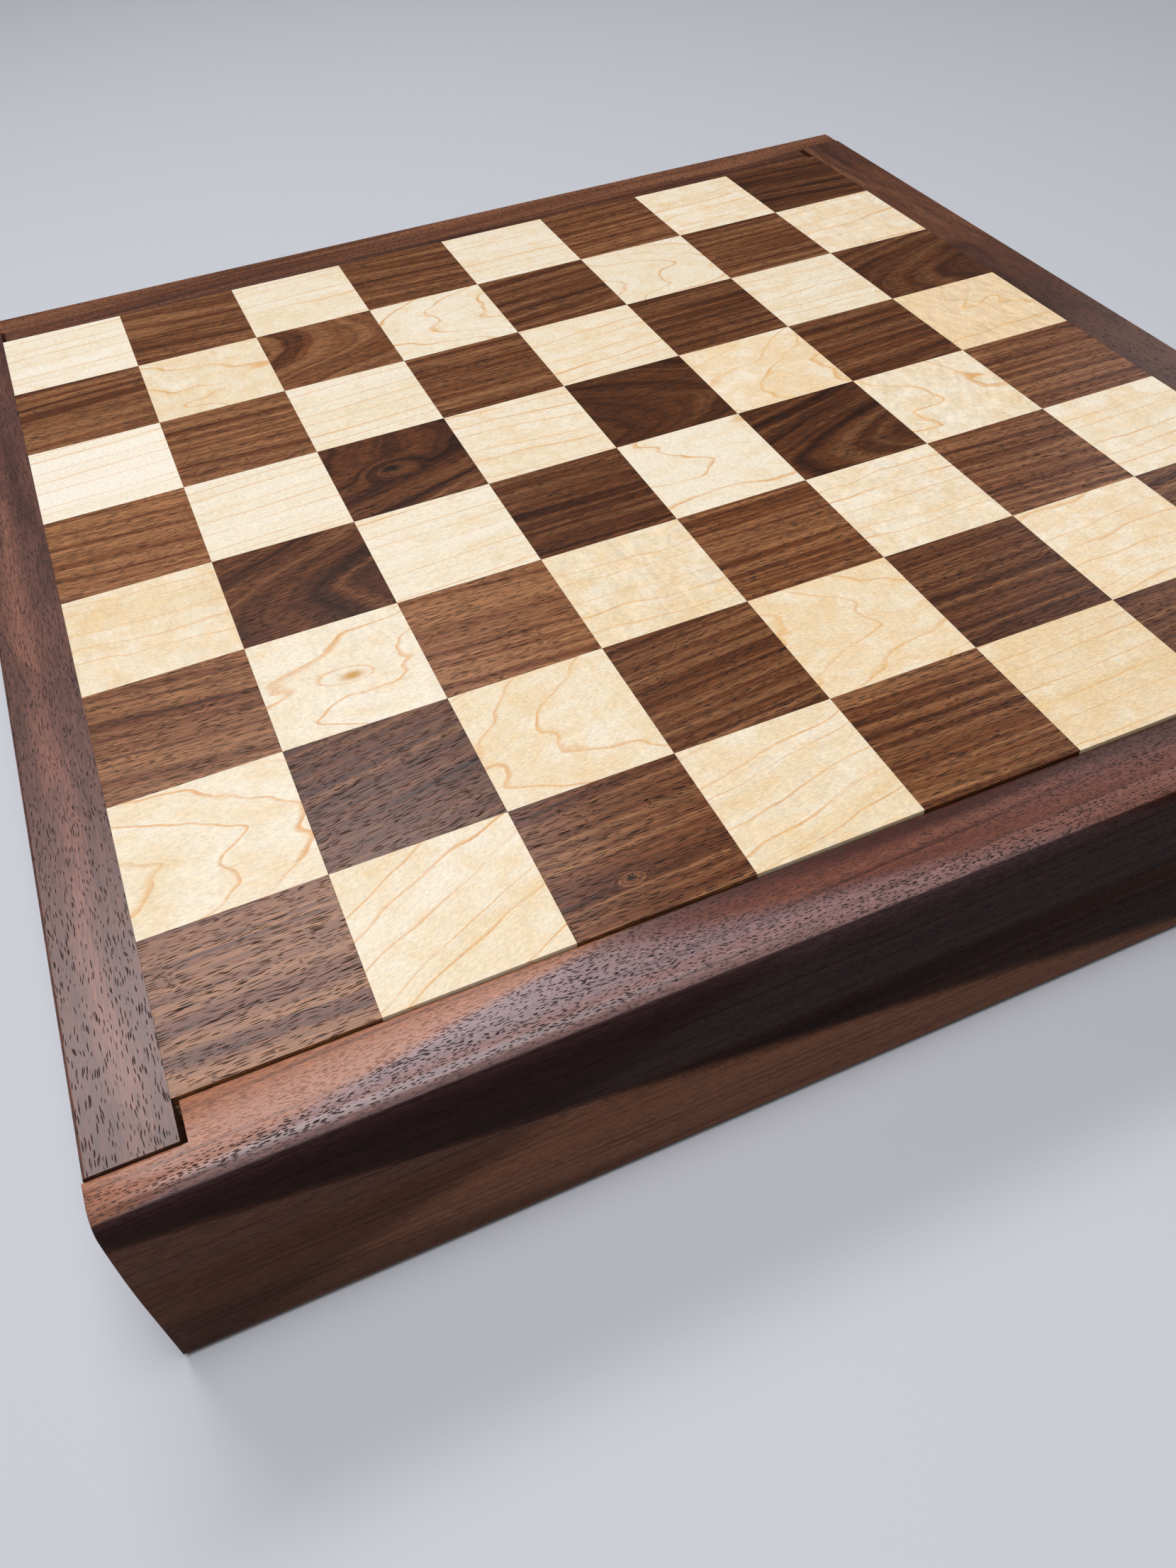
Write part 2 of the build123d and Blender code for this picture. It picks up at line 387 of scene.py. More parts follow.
@dataclass(frozen=True)
class SquareCuts:
    """The cuts of many squares at once, read from attributes of their faces."""

    origin: str = "cut_origin"
    seed: str = "cut_seed"
    pith: str = "cut_pith"
    shade: str = "cut_shade"
    knot: str = "cut_knot"
    lean: str = "cut_lean"
    grain: Grain = Grain.ALONG_X
    bands: tuple[Band, ...] = ()

    def vectors(self) -> tuple[str, ...]:
        """Names the attributes that are vectors."""
        return self.origin, self.seed, self.pith, self.shade, self.knot

    def growth(self, nodes: Nodes) -> Growth:
        """Adds what places a point of a square in the strip that it was sawn from."""
        origin, seed, pith, shade, knot = [
            add(nodes.tree, "ShaderNodeAttribute", {"attribute_name": name}, output="Vector")
            for name in self.vectors()]
        lean = add(nodes.tree, "ShaderNodeAttribute", {"attribute_name": self.lean}, output="Fac")
        offset = nodes.vector("SUBTRACT", nodes.place(), origin)
        flipped = nodes.vector("MULTIPLY", offset, (1.0, -1.0, -1.0))
        place = add(nodes.tree, "ShaderNodeVectorRotate", {"rotation_type": "Z_AXIS"},
                    {"Vector": flipped, "Angle": lean})
        return Growth(place, nodes.vector("ADD", place, seed), pith, shade, knot)


@dataclass(frozen=True)
class Timber:
    """A planed and oiled wood.

    The eye sees growth rings as lines or streaks that nest where the face meets them at a slant,
    dashes where open pores are cut lengthways and dots at the ends, and fine silky fibres
    between.  Lengths are in mm.
    """

    name: str
    dark: str
    body: str
    light: str
    line: str
    pore: str
    ring: float = 3.0  # from one growth line to the next
    line_share: float = 0.25  # part of a ring that its line takes up
    line_strength: float = 0.4
    wander: float = 5.0  # how far the rings stray
    wander_length: float = 70.0
    wander_width: float = 22.0
    streak_width: float = 4.0  # width of a colour streak
    streak_length: float = 160.0
    streak_contrast: float = 1.0
    pore_length: float = 5.0
    pore_gap: float = 0.8  # from one pore to the next, across the grain
    pore_size: float = 0.4  # in shares of the gap
    pore_strength: float = 0.7
    fibre_width: float = 0.3
    fibre_length: float = 9.0
    fibre_strength: float = 0.25
    mottle: float = 0.0  # soft golden clouds
    gold: str = "#E9C17C"
    heart: str = "#1A0F0B"  # middle of a knot
    tone_gain: float = 0.9  # how much lighter or darker a board can be
    curl: float = 0.0  # bars of light across the grain
    roughness: float = 0.42
    sheen: float = 0.5  # specular level of the oiled surface
    relief: float = 0.04  # depth of the open pores
    ends: float = 0.55  # how much of the light end grain keeps

    def material(self, name: str, cut: Cut | SquareCuts) -> Material:
        """Builds this timber's material for one cut, under that name."""
        return Pattern(self, cut, *new_material(name)).build()


class Pattern:
    """One timber's pattern in one material, drawn step by step over the colour so far."""

    KNOT_OUTLINE = (0.55, 1.0, 0.0)  # a knot is longer along the grain
    KNOT_BEND = 7.0  # how far it pushes the rings aside, in mm
    KNOT_THROW = 2.5  # how far it throws the fibres about
    KNOT_PORES = (9.0, 1.6)  # how far it throws the pores, and how far all stray, in mm
    HEART_POWER = 12.0  # how small the dark middle of a knot is
    FLAT_SAWN, QUARTER_SAWN = 30.0, 85.0  # mm from the pith: the rings stray, or run straight
    STREAK_SPREAD = 0.22  # the noise's own spread either side of its mean
    TONE_SHIFT = 0.25  # how far a board's lightness picks its streaks
    LATE_WOOD = (0.97, 0.975)  # where in a ring its line is darkest, and ends
    UNEVEN_YEARS = (0.6, 1.6)  # how often and how far the rings' widths vary
    LINE_PATCH, CLOUD, CURL_BAR, PORE_PATCH = (30.0, 9.0), (9.0, 6.0), (2.4, 8.0), (25.0, 4.0)
    PATCH_EDGES, CLOUD_EDGES = (0.3, 0.65), (0.42, 0.95)
    FAINTEST = 0.35  # a line's share where it fades
    GOLD_SHIFT = 0.35  # how far a board's gold picks its clouds
    CURL_DEPTH = 0.5
    PORE_RANGE = (0.75, 1.1)  # smallest and largest pores, in shares of their size
    PORE_CORE = 0.7  # share of a pore that is at its darkest
    PORE_ROUGH, FIBRE_ROUGH = 0.6, 0.08
    FIBRE_HEIGHT = 0.3  # against the pores' depth of 1
    RELIEF_STRENGTH = 0.6
    END_FACING = (0.5, 0.9)  # from a face's side to a sawn end

    def __init__(self, wood: Timber, cut: Cut | SquareCuts, material: Material, nodes: Nodes) -> None:
        """Places the point in its log.

        Args:
            wood: the timber.
            cut: where the piece was sawn from its log.
            material: the material that is drawn.
            nodes: its empty tree.
        """
        self.wood, self.cut, self.material, self.nodes = wood, cut, material, nodes
        self.growth = cut.growth(nodes)
        self.pith = nodes.parts(self.growth.pith)
        self.tone, self.gold, self.curl = nodes.parts(self.growth.shade)
        self.shown: Any = 1.0  # how far the pores show
        self.blot = self.knot_share()
        self.place, self.radius = self.rings()
        self.fibre = self.hills((wood.fibre_length, wood.fibre_width), 3.0, roughness=0.62,
                                distortion=nodes.math("MULTIPLY", self.blot, self.KNOT_THROW))

    def build(self) -> Material:
        """Draws every layer in turn and returns the material."""
        self.streaks()
        for band in self.cut.bands:
            self.stripe(band)
        self.lines()
        self.clouds()
        self.shade()
        pores = self.pores()
        self.paint(pores, self.wood.pore)
        self.paint(self.nodes.math("POWER", self.blot, self.HEART_POWER), self.wood.heart)
        self.end_grain()
        self.surface(pores)
        return self.material

    def paint(self, share: Socket, colour: str) -> None:
        """Lays a share of another colour over the colour so far."""
        self.colour = self.nodes.mix(share, self.colour, colour)

    def hills(self, size: Pair, detail: float, **more: Any) -> Socket:
        """Adds random hills of that length and width in mm, drawn out along the grain."""
        return self.nodes.noise(self.nodes.stretched(self.growth.seeded, *size), detail, **more)

    def knot_share(self) -> Socket:
        """Adds the share that a knot has in the pattern, 1 at its middle, and returns it."""
        nodes = self.nodes
        offset = nodes.vector("SUBTRACT", self.growth.place, self.growth.knot)
        distance = nodes.vector("LENGTH", nodes.vector("MULTIPLY", offset, self.KNOT_OUTLINE))
        ratio = nodes.math("DIVIDE", distance, nodes.parts(self.growth.knot)[2])
        return nodes.remap(ratio, 1.0, 0.0, curve="SMOOTHERSTEP")

    def rings(self) -> tuple[Socket, Socket]:
        """Adds the distance from the tree's centre, bent as real rings are.

        Returns:
            The bent place, and the ring radius, both in mm.
        """
        nodes, wander = self.nodes, self.wood.wander
        stray = self.hills((self.wood.wander_length, self.wood.wander_width), 2.0, coloured=True,
                           roughness=0.45)
        loose = nodes.remap(nodes.math("ABSOLUTE", self.pith[0]), self.FLAT_SAWN, self.QUARTER_SAWN,
                            2 * wander, 0.5 * wander)
        sway = nodes.vector("MULTIPLY", nodes.vector("SUBTRACT", stray, MIDDLE),
                            nodes.join(0.0, loose, loose))
        bent = nodes.vector("ADD", self.growth.place, sway)
        along, across, down = nodes.parts(bent)
        spot = nodes.join(nodes.math("SUBTRACT", across, self.pith[0]),
                          nodes.math("SUBTRACT", down, self.pith[1]))
        tapered = nodes.math("MULTIPLY_ADD", along, self.pith[2], nodes.vector("LENGTH", spot))
        return bent, nodes.math("MULTIPLY_ADD", self.blot, self.KNOT_BEND, tapered)

    def streaks(self) -> None:
        """Starts the colour with wide streaks that follow the rings."""
        nodes, wood = self.nodes, self.wood
        here = nodes.math("DIVIDE", nodes.parts(self.growth.seeded)[0], wood.streak_length)
        out = nodes.math("DIVIDE", self.radius, wood.streak_width)
        noise = nodes.noise(nodes.join(here, out, self.pith[0]), 3.0, roughness=0.6)
        level = nodes.math("MULTIPLY_ADD", self.tone, self.TONE_SHIFT, noise)
        half = self.STREAK_SPREAD / wood.streak_contrast
        self.colour = nodes.mix(nodes.remap(level, 0.5 - half, 0.5), wood.dark, wood.body)
        self.paint(nodes.remap(level, 0.5, 0.5 + half), wood.light)

    def stripe(self, band: Band) -> None:
        """Adds one stripe of colour, and how far the pores show inside it."""
        nodes = self.nodes
        along, across, down = nodes.parts(self.growth.place if band.straight else self.place)
        rim = nodes.math("ADD", across, down)
        edges = []
        for ends, blur in ((band.start, band.blur), (band.stop, -band.blur)):
            limit = nodes.remap(along, *self.cut.reach, *ends, clamp=False)
            edges.append(nodes.remap(nodes.math("SUBTRACT", rim, limit), -blur, blur, curve=SMOOTH))
        share = nodes.math("MULTIPLY", *edges)
        self.shown = add(nodes.tree, MIX, None, {MIX_FACTOR: share, 2: self.shown, 3: band.pores})
        self.paint(nodes.math("MULTIPLY", share, band.strength), band.colour)

    def lines(self) -> None:
        """Adds the line that ends each year's growth, faint in places."""
        nodes, wood = self.nodes, self.wood
        often, far = self.UNEVEN_YEARS
        darkest, end = self.LATE_WOOD
        years = nodes.math("DIVIDE", self.radius, wood.ring)
        uneven = add(nodes.tree, "ShaderNodeTexNoise", {"noise_dimensions": "1D"},
                     {"W": years, "Scale": often, "Detail": 1.0})
        phase = nodes.math("FRACT", nodes.math("MULTIPLY_ADD", uneven, far, years))
        rise = nodes.remap(phase, 1.0 - wood.line_share, darkest, curve=SMOOTH)
        line = nodes.math("MULTIPLY", rise, nodes.remap(phase, 1.0, end))
        shown = nodes.remap(self.hills(self.LINE_PATCH, 1.0), *self.PATCH_EDGES,
                            self.FAINTEST * wood.line_strength, wood.line_strength)
        self.paint(nodes.math("MULTIPLY", line, shown), wood.line)

    def clouds(self) -> None:
        """Adds soft golden clouds and the bars of curly grain."""
        nodes, wood = self.nodes, self.wood
        cloud = self.hills(self.CLOUD, 4.0, roughness=0.6, distortion=0.6)
        level = nodes.math("MULTIPLY_ADD", self.gold, self.GOLD_SHIFT, cloud)
        self.paint(nodes.remap(level, *self.CLOUD_EDGES, 0.0, wood.mottle, SMOOTH), wood.gold)
        wave = nodes.math("SUBTRACT", self.hills(self.CURL_BAR, 1.0, distortion=0.8), 0.5)
        lift = nodes.math("MULTIPLY", wave, nodes.math("ADD", self.curl, wood.curl))
        self.colour = nodes.scaled(self.colour, nodes.math("MULTIPLY_ADD", lift, self.CURL_DEPTH, 1.0))

    def shade(self) -> None:
        """Shades the colour by the fibres and by the lightness of the board."""
        nodes, strength = self.nodes, self.wood.fibre_strength
        swing = nodes.remap(self.fibre, *WIDE_SPREAD, 1.0 - strength, 1.0 + strength, clamp=False)
        board = nodes.math("MULTIPLY_ADD", self.tone, self.wood.tone_gain, 1.0)
        self.colour = nodes.scaled(self.colour, nodes.math("MULTIPLY", swing, board))

    def pores(self) -> Socket:
        """Adds the open pores: long ellipsoids, cut to dashes on a face and dots at an end.

        Returns:
            The pores' share, from 0 to the timber's pore strength.
        """
        nodes, wood = self.nodes, self.wood
        sway = nodes.noise(self.growth.seeded, 1.0, coloured=True, scale=0.12)
        shift = nodes.scaled(nodes.vector("SUBTRACT", sway, MIDDLE),
                             nodes.math("MULTIPLY_ADD", self.blot, *self.KNOT_PORES))
        cells = nodes.stretched(nodes.vector("ADD", self.growth.seeded, shift),
                                wood.pore_length, wood.pore_gap)
        distance = add(nodes.tree, "ShaderNodeTexVoronoi", None,
                       {"Vector": cells, "Scale": 1.0, "Randomness": 1.0}, "Distance")
        small, large = [share * wood.pore_size for share in self.PORE_RANGE]
        size = nodes.remap(self.hills(self.PORE_PATCH, 2.0), *SPREAD, small, large)
        core = nodes.math("MULTIPLY", size, self.PORE_CORE)
        pit = nodes.remap(distance, size, core, 0.0, wood.pore_strength, SMOOTH)
        return nodes.math("MULTIPLY", pit, self.shown)

    def end_grain(self) -> None:
        """Darkens the faces sawn across the grain, which drink up the oil."""
        nodes = self.nodes
        along = nodes.vector("DOT_PRODUCT", nodes.facing(), self.cut.grain.value[0])
        keep = nodes.remap(nodes.math("ABSOLUTE", along), *self.END_FACING, 1.0, self.wood.ends)
        self.colour = nodes.scaled(self.colour, keep)

    def surface(self, pores: Socket) -> None:
        """Adds the satin surface: rougher in the pores, with fibres and pores in its relief."""
        nodes, wood = self.nodes, self.wood
        dull = nodes.math("MULTIPLY_ADD", pores, self.PORE_ROUGH, wood.roughness)
        silk = nodes.math("MULTIPLY_ADD", self.fibre, self.FIBRE_ROUGH, dull)
        height = nodes.math("MULTIPLY_ADD", self.fibre, self.FIBRE_HEIGHT,
                            nodes.math("MULTIPLY", pores, -1.0))
        nodes.surface({"Base Color": self.colour, "Roughness": silk, "IOR": WOOD_IOR,
                       "Specular IOR Level": wood.sheen}, height, self.RELIEF_STRENGTH, wood.relief)


WALNUT_SQUARE = Timber(
    name="black walnut square, planed and oiled",
    dark="#361A0C", body="#663A1E", light="#8A5D3A", line="#26120A", pore="#120905",
    ring=2.0, line_share=0.5, line_strength=0.38, wander=3.0, streak_width=2.6,
    streak_contrast=1.2, pore_length=6.0, pore_gap=0.32, pore_size=0.38, pore_strength=1.0,
    fibre_width=0.2, fibre_length=8.0, fibre_strength=0.85, roughness=0.26, sheen=0.34,
)
WALNUT_RAIL = Timber(
    name="black walnut rail, planed and oiled",
    dark="#3C2218", body="#69402A", light="#895B3D", line="#2E1A14", pore="#120A0E",
    ring=5.0, line_share=0.35, line_strength=0.35, wander=4.0, streak_width=5.0,
    streak_contrast=1.1, pore_length=4.5, pore_gap=0.42, pore_size=0.34, pore_strength=0.85,
    fibre_width=0.26, fibre_length=6.0, fibre_strength=0.65, roughness=0.28, sheen=0.52,
)
WALNUT_FACE = Timber(
    name="black walnut drawer face, planed and oiled",
    dark="#351A12", body="#6C4029", light="#8C5A3C", line="#240F0B", pore="#0F0709",
    ring=4.2, line_share=0.35, line_strength=0.5, wander=2.5, wander_length=120.0,
    streak_width=3.0, streak_length=260.0, streak_contrast=1.5, pore_length=1.7, pore_gap=0.36,
    pore_size=0.42, pore_strength=0.95, fibre_width=0.26, fibre_length=3.4, fibre_strength=0.55,
    roughness=0.24, sheen=0.42, relief=0.1,
)
WALNUT_FRONT = replace(WALNUT_FACE, name="black walnut drawer front, oiled and left matt",
                       roughness=0.45, sheen=0.03)
MAPLE_SQUARE = Timber(
    name="hard maple square, planed and oiled",
    dark="#EDD6A8", body="#F4E5C6", light="#F9EED6", line="#DE9638", pore="#C99A66",
    ring=6.5, line_share=0.14, line_strength=0.8, wander=6.0, wander_length=34.0,
    wander_width=16.0, streak_width=8.0, streak_contrast=0.7, pore_length=1.2, pore_gap=0.5,
    pore_size=0.2, pore_strength=0.25, fibre_width=0.5, fibre_length=1.3, fibre_strength=0.17,
    mottle=0.6, gold="#ECC27E", curl=0.1, heart="#D09A4E", tone_gain=0.05, roughness=0.42,
    sheen=0.4, relief=0.012, ends=0.8,
)
MAPLE_BOX = Timber(
    name="hard maple drawer board, sanded",
    dark="#DDC494", body="#E8D5AE", light="#F1E5C9", line="#CF9A5E", pore="#B98850",
    ring=5.0, line_share=0.14, line_strength=0.4, wander=5.0, wander_length=90.0,
    streak_contrast=0.6, pore_length=1.2, pore_gap=0.5, pore_size=0.2, pore_strength=0.2,
    fibre_width=0.5, fibre_length=5.0, fibre_strength=0.05, mottle=0.35, curl=0.08,
    tone_gain=0.05, roughness=0.5, relief=0.012, ends=0.78,
)
POPLAR = Timber(
    name="poplar divider, sanded",
    dark="#9C9468", body="#C4B68C", light="#D9CDA8", line="#A79A6C", pore="#8F8458",
    ring=6.0, line_strength=0.3, wander=6.0, streak_width=9.0, pore_length=1.5, pore_gap=0.5,
    pore_size=0.2, pore_strength=0.2, fibre_strength=0.07, roughness=0.55, relief=0.015, ends=0.75,
)


# ---- other finishes ----
@dataclass(frozen=True)
class Plywood:
    """Sanded birch plywood: a rotary-cut face with wide soft figure, and plies at its edges."""

    name: str = "birch plywood, sanded"
    face: str = "#DCC29A"
    figure: str = "#C9A877"
    pale_ply: str = "#D3B88C"
    dark_ply: str = "#9A7448"
    ply: float = 1.25  # thickness of one ply
    figure_length: float = 90.0
    figure_width: float = 14.0
    contours: float = 14.0  # lines from the figure's lowest to its highest
    fibre: Pair = (6.0, 0.4)
    swing: Pair = (0.9, 1.08)  # darkest and lightest fibres
    roughness: float = 0.55
    relief: Pair = (0.4, 0.02)  # how far it shows, and its depth in mm

    def material(self) -> Material:
        """Builds the material and returns it."""
        material, nodes = new_material(self.name)
        spot = nodes.place()
        wide = nodes.vector("MULTIPLY", spot, (1 / self.figure_length, 1 / self.figure_width, 0.0))
        contour = nodes.noise(wide, 2.0, distortion=0.4)
        phase = nodes.math("FRACT", nodes.math("MULTIPLY", contour, self.contours))
        face = nodes.mix(nodes.remap(phase, 0.3, 1.0, 0.0, 0.7, SMOOTH), self.face, self.figure)
        layers = nodes.math("PINGPONG", nodes.parts(spot)[2], self.ply)
        glued = nodes.remap(layers, 0.45 * self.ply, 0.55 * self.ply, curve=SMOOTH)
        edge = nodes.mix(glued, self.pale_ply, self.dark_ply)
        flat = nodes.math("ABSOLUTE", nodes.parts(nodes.facing())[2])
        fibre = nodes.noise(nodes.stretched(spot, *self.fibre), 2.0)
        shaded = nodes.scaled(nodes.mix(flat, edge, face), nodes.remap(fibre, *WIDE_SPREAD, *self.swing))
        nodes.surface({"Base Color": shaded, "Roughness": self.roughness, "IOR": WOOD_IOR},
                      fibre, *self.relief)
        return material


@dataclass(frozen=True)
class Felt:
    """Pressed wool felt: matt, cloudy, with stray fibres and a soft pale bloom at a slant."""

    name: str
    body: str
    fleck: str
    fibre: float = 0.5  # width of a clump of fibres
    cloud: float = 9.0
    flecks: Pair = (0.55, 1.0)  # heights where the flecks start and are full
    relief: Pair = (0.8, 0.2)  # how far it shows, and its depth in mm

    def material(self) -> Material:
        """Builds the material and returns it."""
        material, nodes = new_material(self.name)
        spot = nodes.place()
        fuzz = nodes.noise(spot, 4.0, scale=1 / self.fibre, roughness=0.7, distortion=1.2)
        both = nodes.math("MULTIPLY_ADD", nodes.noise(spot, 2.0, scale=1 / self.cloud), 0.5, fuzz)
        colour = nodes.mix(nodes.remap(both, *self.flecks), self.body, self.fleck)
        nodes.surface({"Base Color": colour, "Roughness": 0.95, "Sheen Weight": 0.35,
                       "Sheen Roughness": 0.5}, fuzz, *self.relief)
        return material


@dataclass(frozen=True)
class Plating:
    """Bright plating on steel: a clean metal with faint clouding."""

    name: str
    colour: str
    shadow: str
    roughness: float
    cloud: float = 1.4
    uneven: float = 0.15  # how much rougher its clouds are
    relief: Pair = (0.2, 0.01)  # how far it shows, and its depth in mm

    def material(self) -> Material:
        """Builds the material and returns it."""
        material, nodes = new_material(self.name)
        haze = nodes.noise(nodes.place(), 3.0, scale=1 / self.cloud)
        rough = nodes.remap(haze, *SPREAD, self.roughness, self.roughness + self.uneven)
        nodes.surface({"Base Color": nodes.mix(haze, self.colour, self.shadow), "Metallic": 1.0,
                       "Roughness": rough}, haze, *self.relief)
        return material


# ---- screws ----
@dataclass
class Screws:
    """Countersunk wood screws with a cross recess, in the places that their parts hold."""

    plating: Material
    head_radius: float = 3.4
    head_height: float = 2.3
    shank_radius: float = 1.5
    tip_radius: float = 0.02
    point: float = 3.0
    recess_reach: float = 1.9  # half the length of the recess's arms
    recess_width: float = 0.75
    recess_depth: float = 1.5
    sides: int = 32
    tree: Tree = field(init=False)

    def sizes(self) -> dict[str, float]:
        """Gives the sizes of a screw, in metres, by the names of the tree's inputs."""
        names = ("head_radius", "head_height", "shank_radius", "point", "recess_reach",
                 "recess_width", "recess_depth")
        return {name.replace("_", " ").capitalize(): getattr(self, name) * MM for name in names}

    def __post_init__(self) -> None:
        """Builds the tree that turns one screw and drives it in at every point."""
        nodes, given = new_group("driven screws", {
            "Places": "Geometry", "Drive": "Vector", "Length": "Float",
            **dict.fromkeys(self.sizes(), "Float"), "Sides": "Int", "Plating": "Material"}, "Screws")
        tree = self.tree = nodes.tree
        head, shank, length = given["Head radius"], given["Shank radius"], given["Length"]
        shoulder = nodes.math("SUBTRACT", length, given["Point"])
        stations = ((0.0, head), (given["Head height"], shank), (shoulder, shank),
                    (length, self.tip_radius * MM))
        line = add(tree, "GeometryNodeMeshLine", None, {"Count": len(stations)})
        index = add(tree, "GeometryNodeInputIndex")
        place: Any = (0.0, 0.0)
        for number, station in enumerate(stations):
            here = add(tree, "FunctionNodeCompare", {"data_type": "INT", "operation": "EQUAL"},
                       {2: index, 3: number})
            place = [add(tree, "GeometryNodeSwitch", {"input_type": "FLOAT"},
                         {"Switch": here, "False": old, "True": new})
                     for old, new in zip(place, station)]
        depth, radius = place
        spread = add(tree, "GeometryNodeSetPosition", None,
                     {"Geometry": line, "Position": nodes.join(0.0, 0.0, depth)})
        axis = add(tree, "GeometryNodeMeshToCurve", None, {0: spread})
        sized = add(tree, "GeometryNodeSetCurveRadius", None, {0: axis, "Radius": radius})
        rim = add(tree, "GeometryNodeCurvePrimitiveCircle", None,
                  {"Resolution": given["Sides"], "Radius": 1.0})
        cut = add(tree, "GeometryNodeCurveToMesh", None,
                  {"Curve": sized, "Profile Curve": rim, "Scale": radius, "Fill Caps": True})
        reach, deep = [nodes.math("MULTIPLY", given[name], 2.0) for name in
                       ("Recess reach", "Recess depth")]
        for sides in ((reach, given["Recess width"]), (given["Recess width"], reach)):
            arm = add(tree, "GeometryNodeMeshCube", None, {"Size": nodes.join(*sides, deep)})
            cut = add(tree, "GeometryNodeMeshBoolean", {"operation": "DIFFERENCE", "solver": "EXACT"},
                      {"Mesh 1": cut, "Mesh 2": arm})
        turn = add(tree, "FunctionNodeAlignRotationToVector", {"axis": "Z"}, {"Vector": given["Drive"]})
        driven = add(tree, "GeometryNodeInstanceOnPoints", None,
                     {"Points": given["Places"], "Instance": cut, "Rotation": turn})
        real = add(tree, "GeometryNodeRealizeInstances", None, {0: driven})
        end_group(nodes, real, given["Plating"])

    def drive(self, name: str, body: str, part: str, count: int, direction: Triple) -> None:
        """Drives a row of screws along X.

        Args:
            name: the piece's name.
            body: the body it moves with.
            part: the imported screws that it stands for.
            count: how many there are.
            direction: which way they are driven.
        """
        low, high = box_mm(part)
        way = Vector(direction)
        size, middle = high - low, (low + high) / 2
        length = abs(size.dot(way))
        first, last = low.x + self.head_radius, high.x - self.head_radius
        heads = middle - way * length / 2
        shape = bmesh.new()
        for i in range(count):
            shape.verts.new(Vector((first + (last - first) / (count - 1) * i, heads.y, heads.z)) * MM)
        piece = new_object(name, shape)
        run_group(piece, self.tree, {**self.sizes(), "Drive": direction, "Length": length * MM,
                                     "Sides": self.sides, "Plating": self.plating})
        register(plain(piece), body, "zinc_screw", part)


# ---- felt ----
@dataclass(frozen=True)
class FeltPad:
    """A piece of felt: a die-cut sheet with soft rims, in the place of its part."""

    finish: Material
    ease: float
    segments: int
    bay: float = 6.0  # between the points of its mesh
    wave: float = 0.0
    waves: tuple[Pair, Pair] = ((31.0, 23.0), (13.0, 17.0))  # a turn of each, along X and Y
    seed: str = ""

    def lay(self, name: str, part: str) -> Object:
        """Lays the felt.

        Args:
            name: the piece's name.
            part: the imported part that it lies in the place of.

        Returns:
            The felt as a plain mesh.
        """
        low, high = box_mm(part)
        size = high - low
        columns, rows = [max(2, round(size[i] / self.bay)) for i in (0, 1)]
        shape = bmesh.new()
        bmesh.ops.create_grid(shape, x_segments=columns, y_segments=rows, size=0.5)
        draw = random.Random(self.seed)
        phases = [draw.uniform(0, FULL_TURN) for _ in range(4)]
        (long_x, long_y), (short_x, short_y) = self.waves
        for vertex in shape.verts:
            x, y = [low[i] + (vertex.co[i] + 0.5) * size[i] for i in (0, 1)]
            rise = math.sin(x / long_x + phases[0]) * math.sin(y / long_y + phases[1])
            rise += 0.5 * math.sin(x / short_x + y / short_y + phases[2])
            vertex.co = Vector((x, y, high.z - self.wave * (1 + rise / 1.5) / 2)) * MM
        piece = new_object(name, shape)
        piece.data.materials.append(self.finish)
        thick = piece.modifiers.new("thickness", "SOLIDIFY")
        thick.thickness, thick.offset = (size.z - self.wave) * MM, -1.0
        soften(piece, self.ease, self.segments, angle_limit=FACETED)
        return plain(piece)


@dataclass
class Workshop:
    """What every sub-assembly is built with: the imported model, shared finishes and screws."""

    frame: dict[str, Any]
    plywood: Material
    lining: Material
    foot: Material
    nickel: Material
    screws: Screws

    def dress(self, part: str, material: Material) -> None:
        """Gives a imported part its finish."""
        piece = self.frame["nodes"][part]
        piece.data.materials.clear()
        piece.data.materials.append(material)
        log.info("%s: %s", part, material.name)

    def dress_board(self, part: str, timber: Timber, name: str, grain: Grain, **cut: Any) -> None:
        """Gives a packed board the timber of its own cut.

        Args:
            part: the board.
            timber: what it is of.
            name: what the material is called.
            grain: which way its grain runs.
            cut: the rest of its cut, from the board's middle unless it says another origin.
        """
        low, high = box_mm(part)
        cut.setdefault("origin", tuple((low + high) / 2))
        self.dress(part, timber.material(name, Cut(grain, **cut)))


# ---- playing board ----
class Sawing(Enum):
    """How a square was sawn: across and down to the tree's centre, and its taper.

    The first shows straight close lines, the last closed loops.
    """

    QUARTER = (95.0, 12.0, 0.01)
    RIFT = (55.0, 45.0, 0.05)
    FLAT = (12.0, 46.0, 0.16)
    LOOPED = (4.0, 26.0, 0.3)


@dataclass(frozen=True)
class Figure:
    """What one square shows."""

    sawing: Sawing = Sawing.QUARTER
    side: int = 1  # which side of the square the tree's centre lies on
    lean: float = 0.0  # degrees
    tone: float = 0.0  # lighter above 0
    gold: float = 0.0
    curl: float = 0.0
    knot: Triple = NO_KNOT  # along, across and radius, in mm


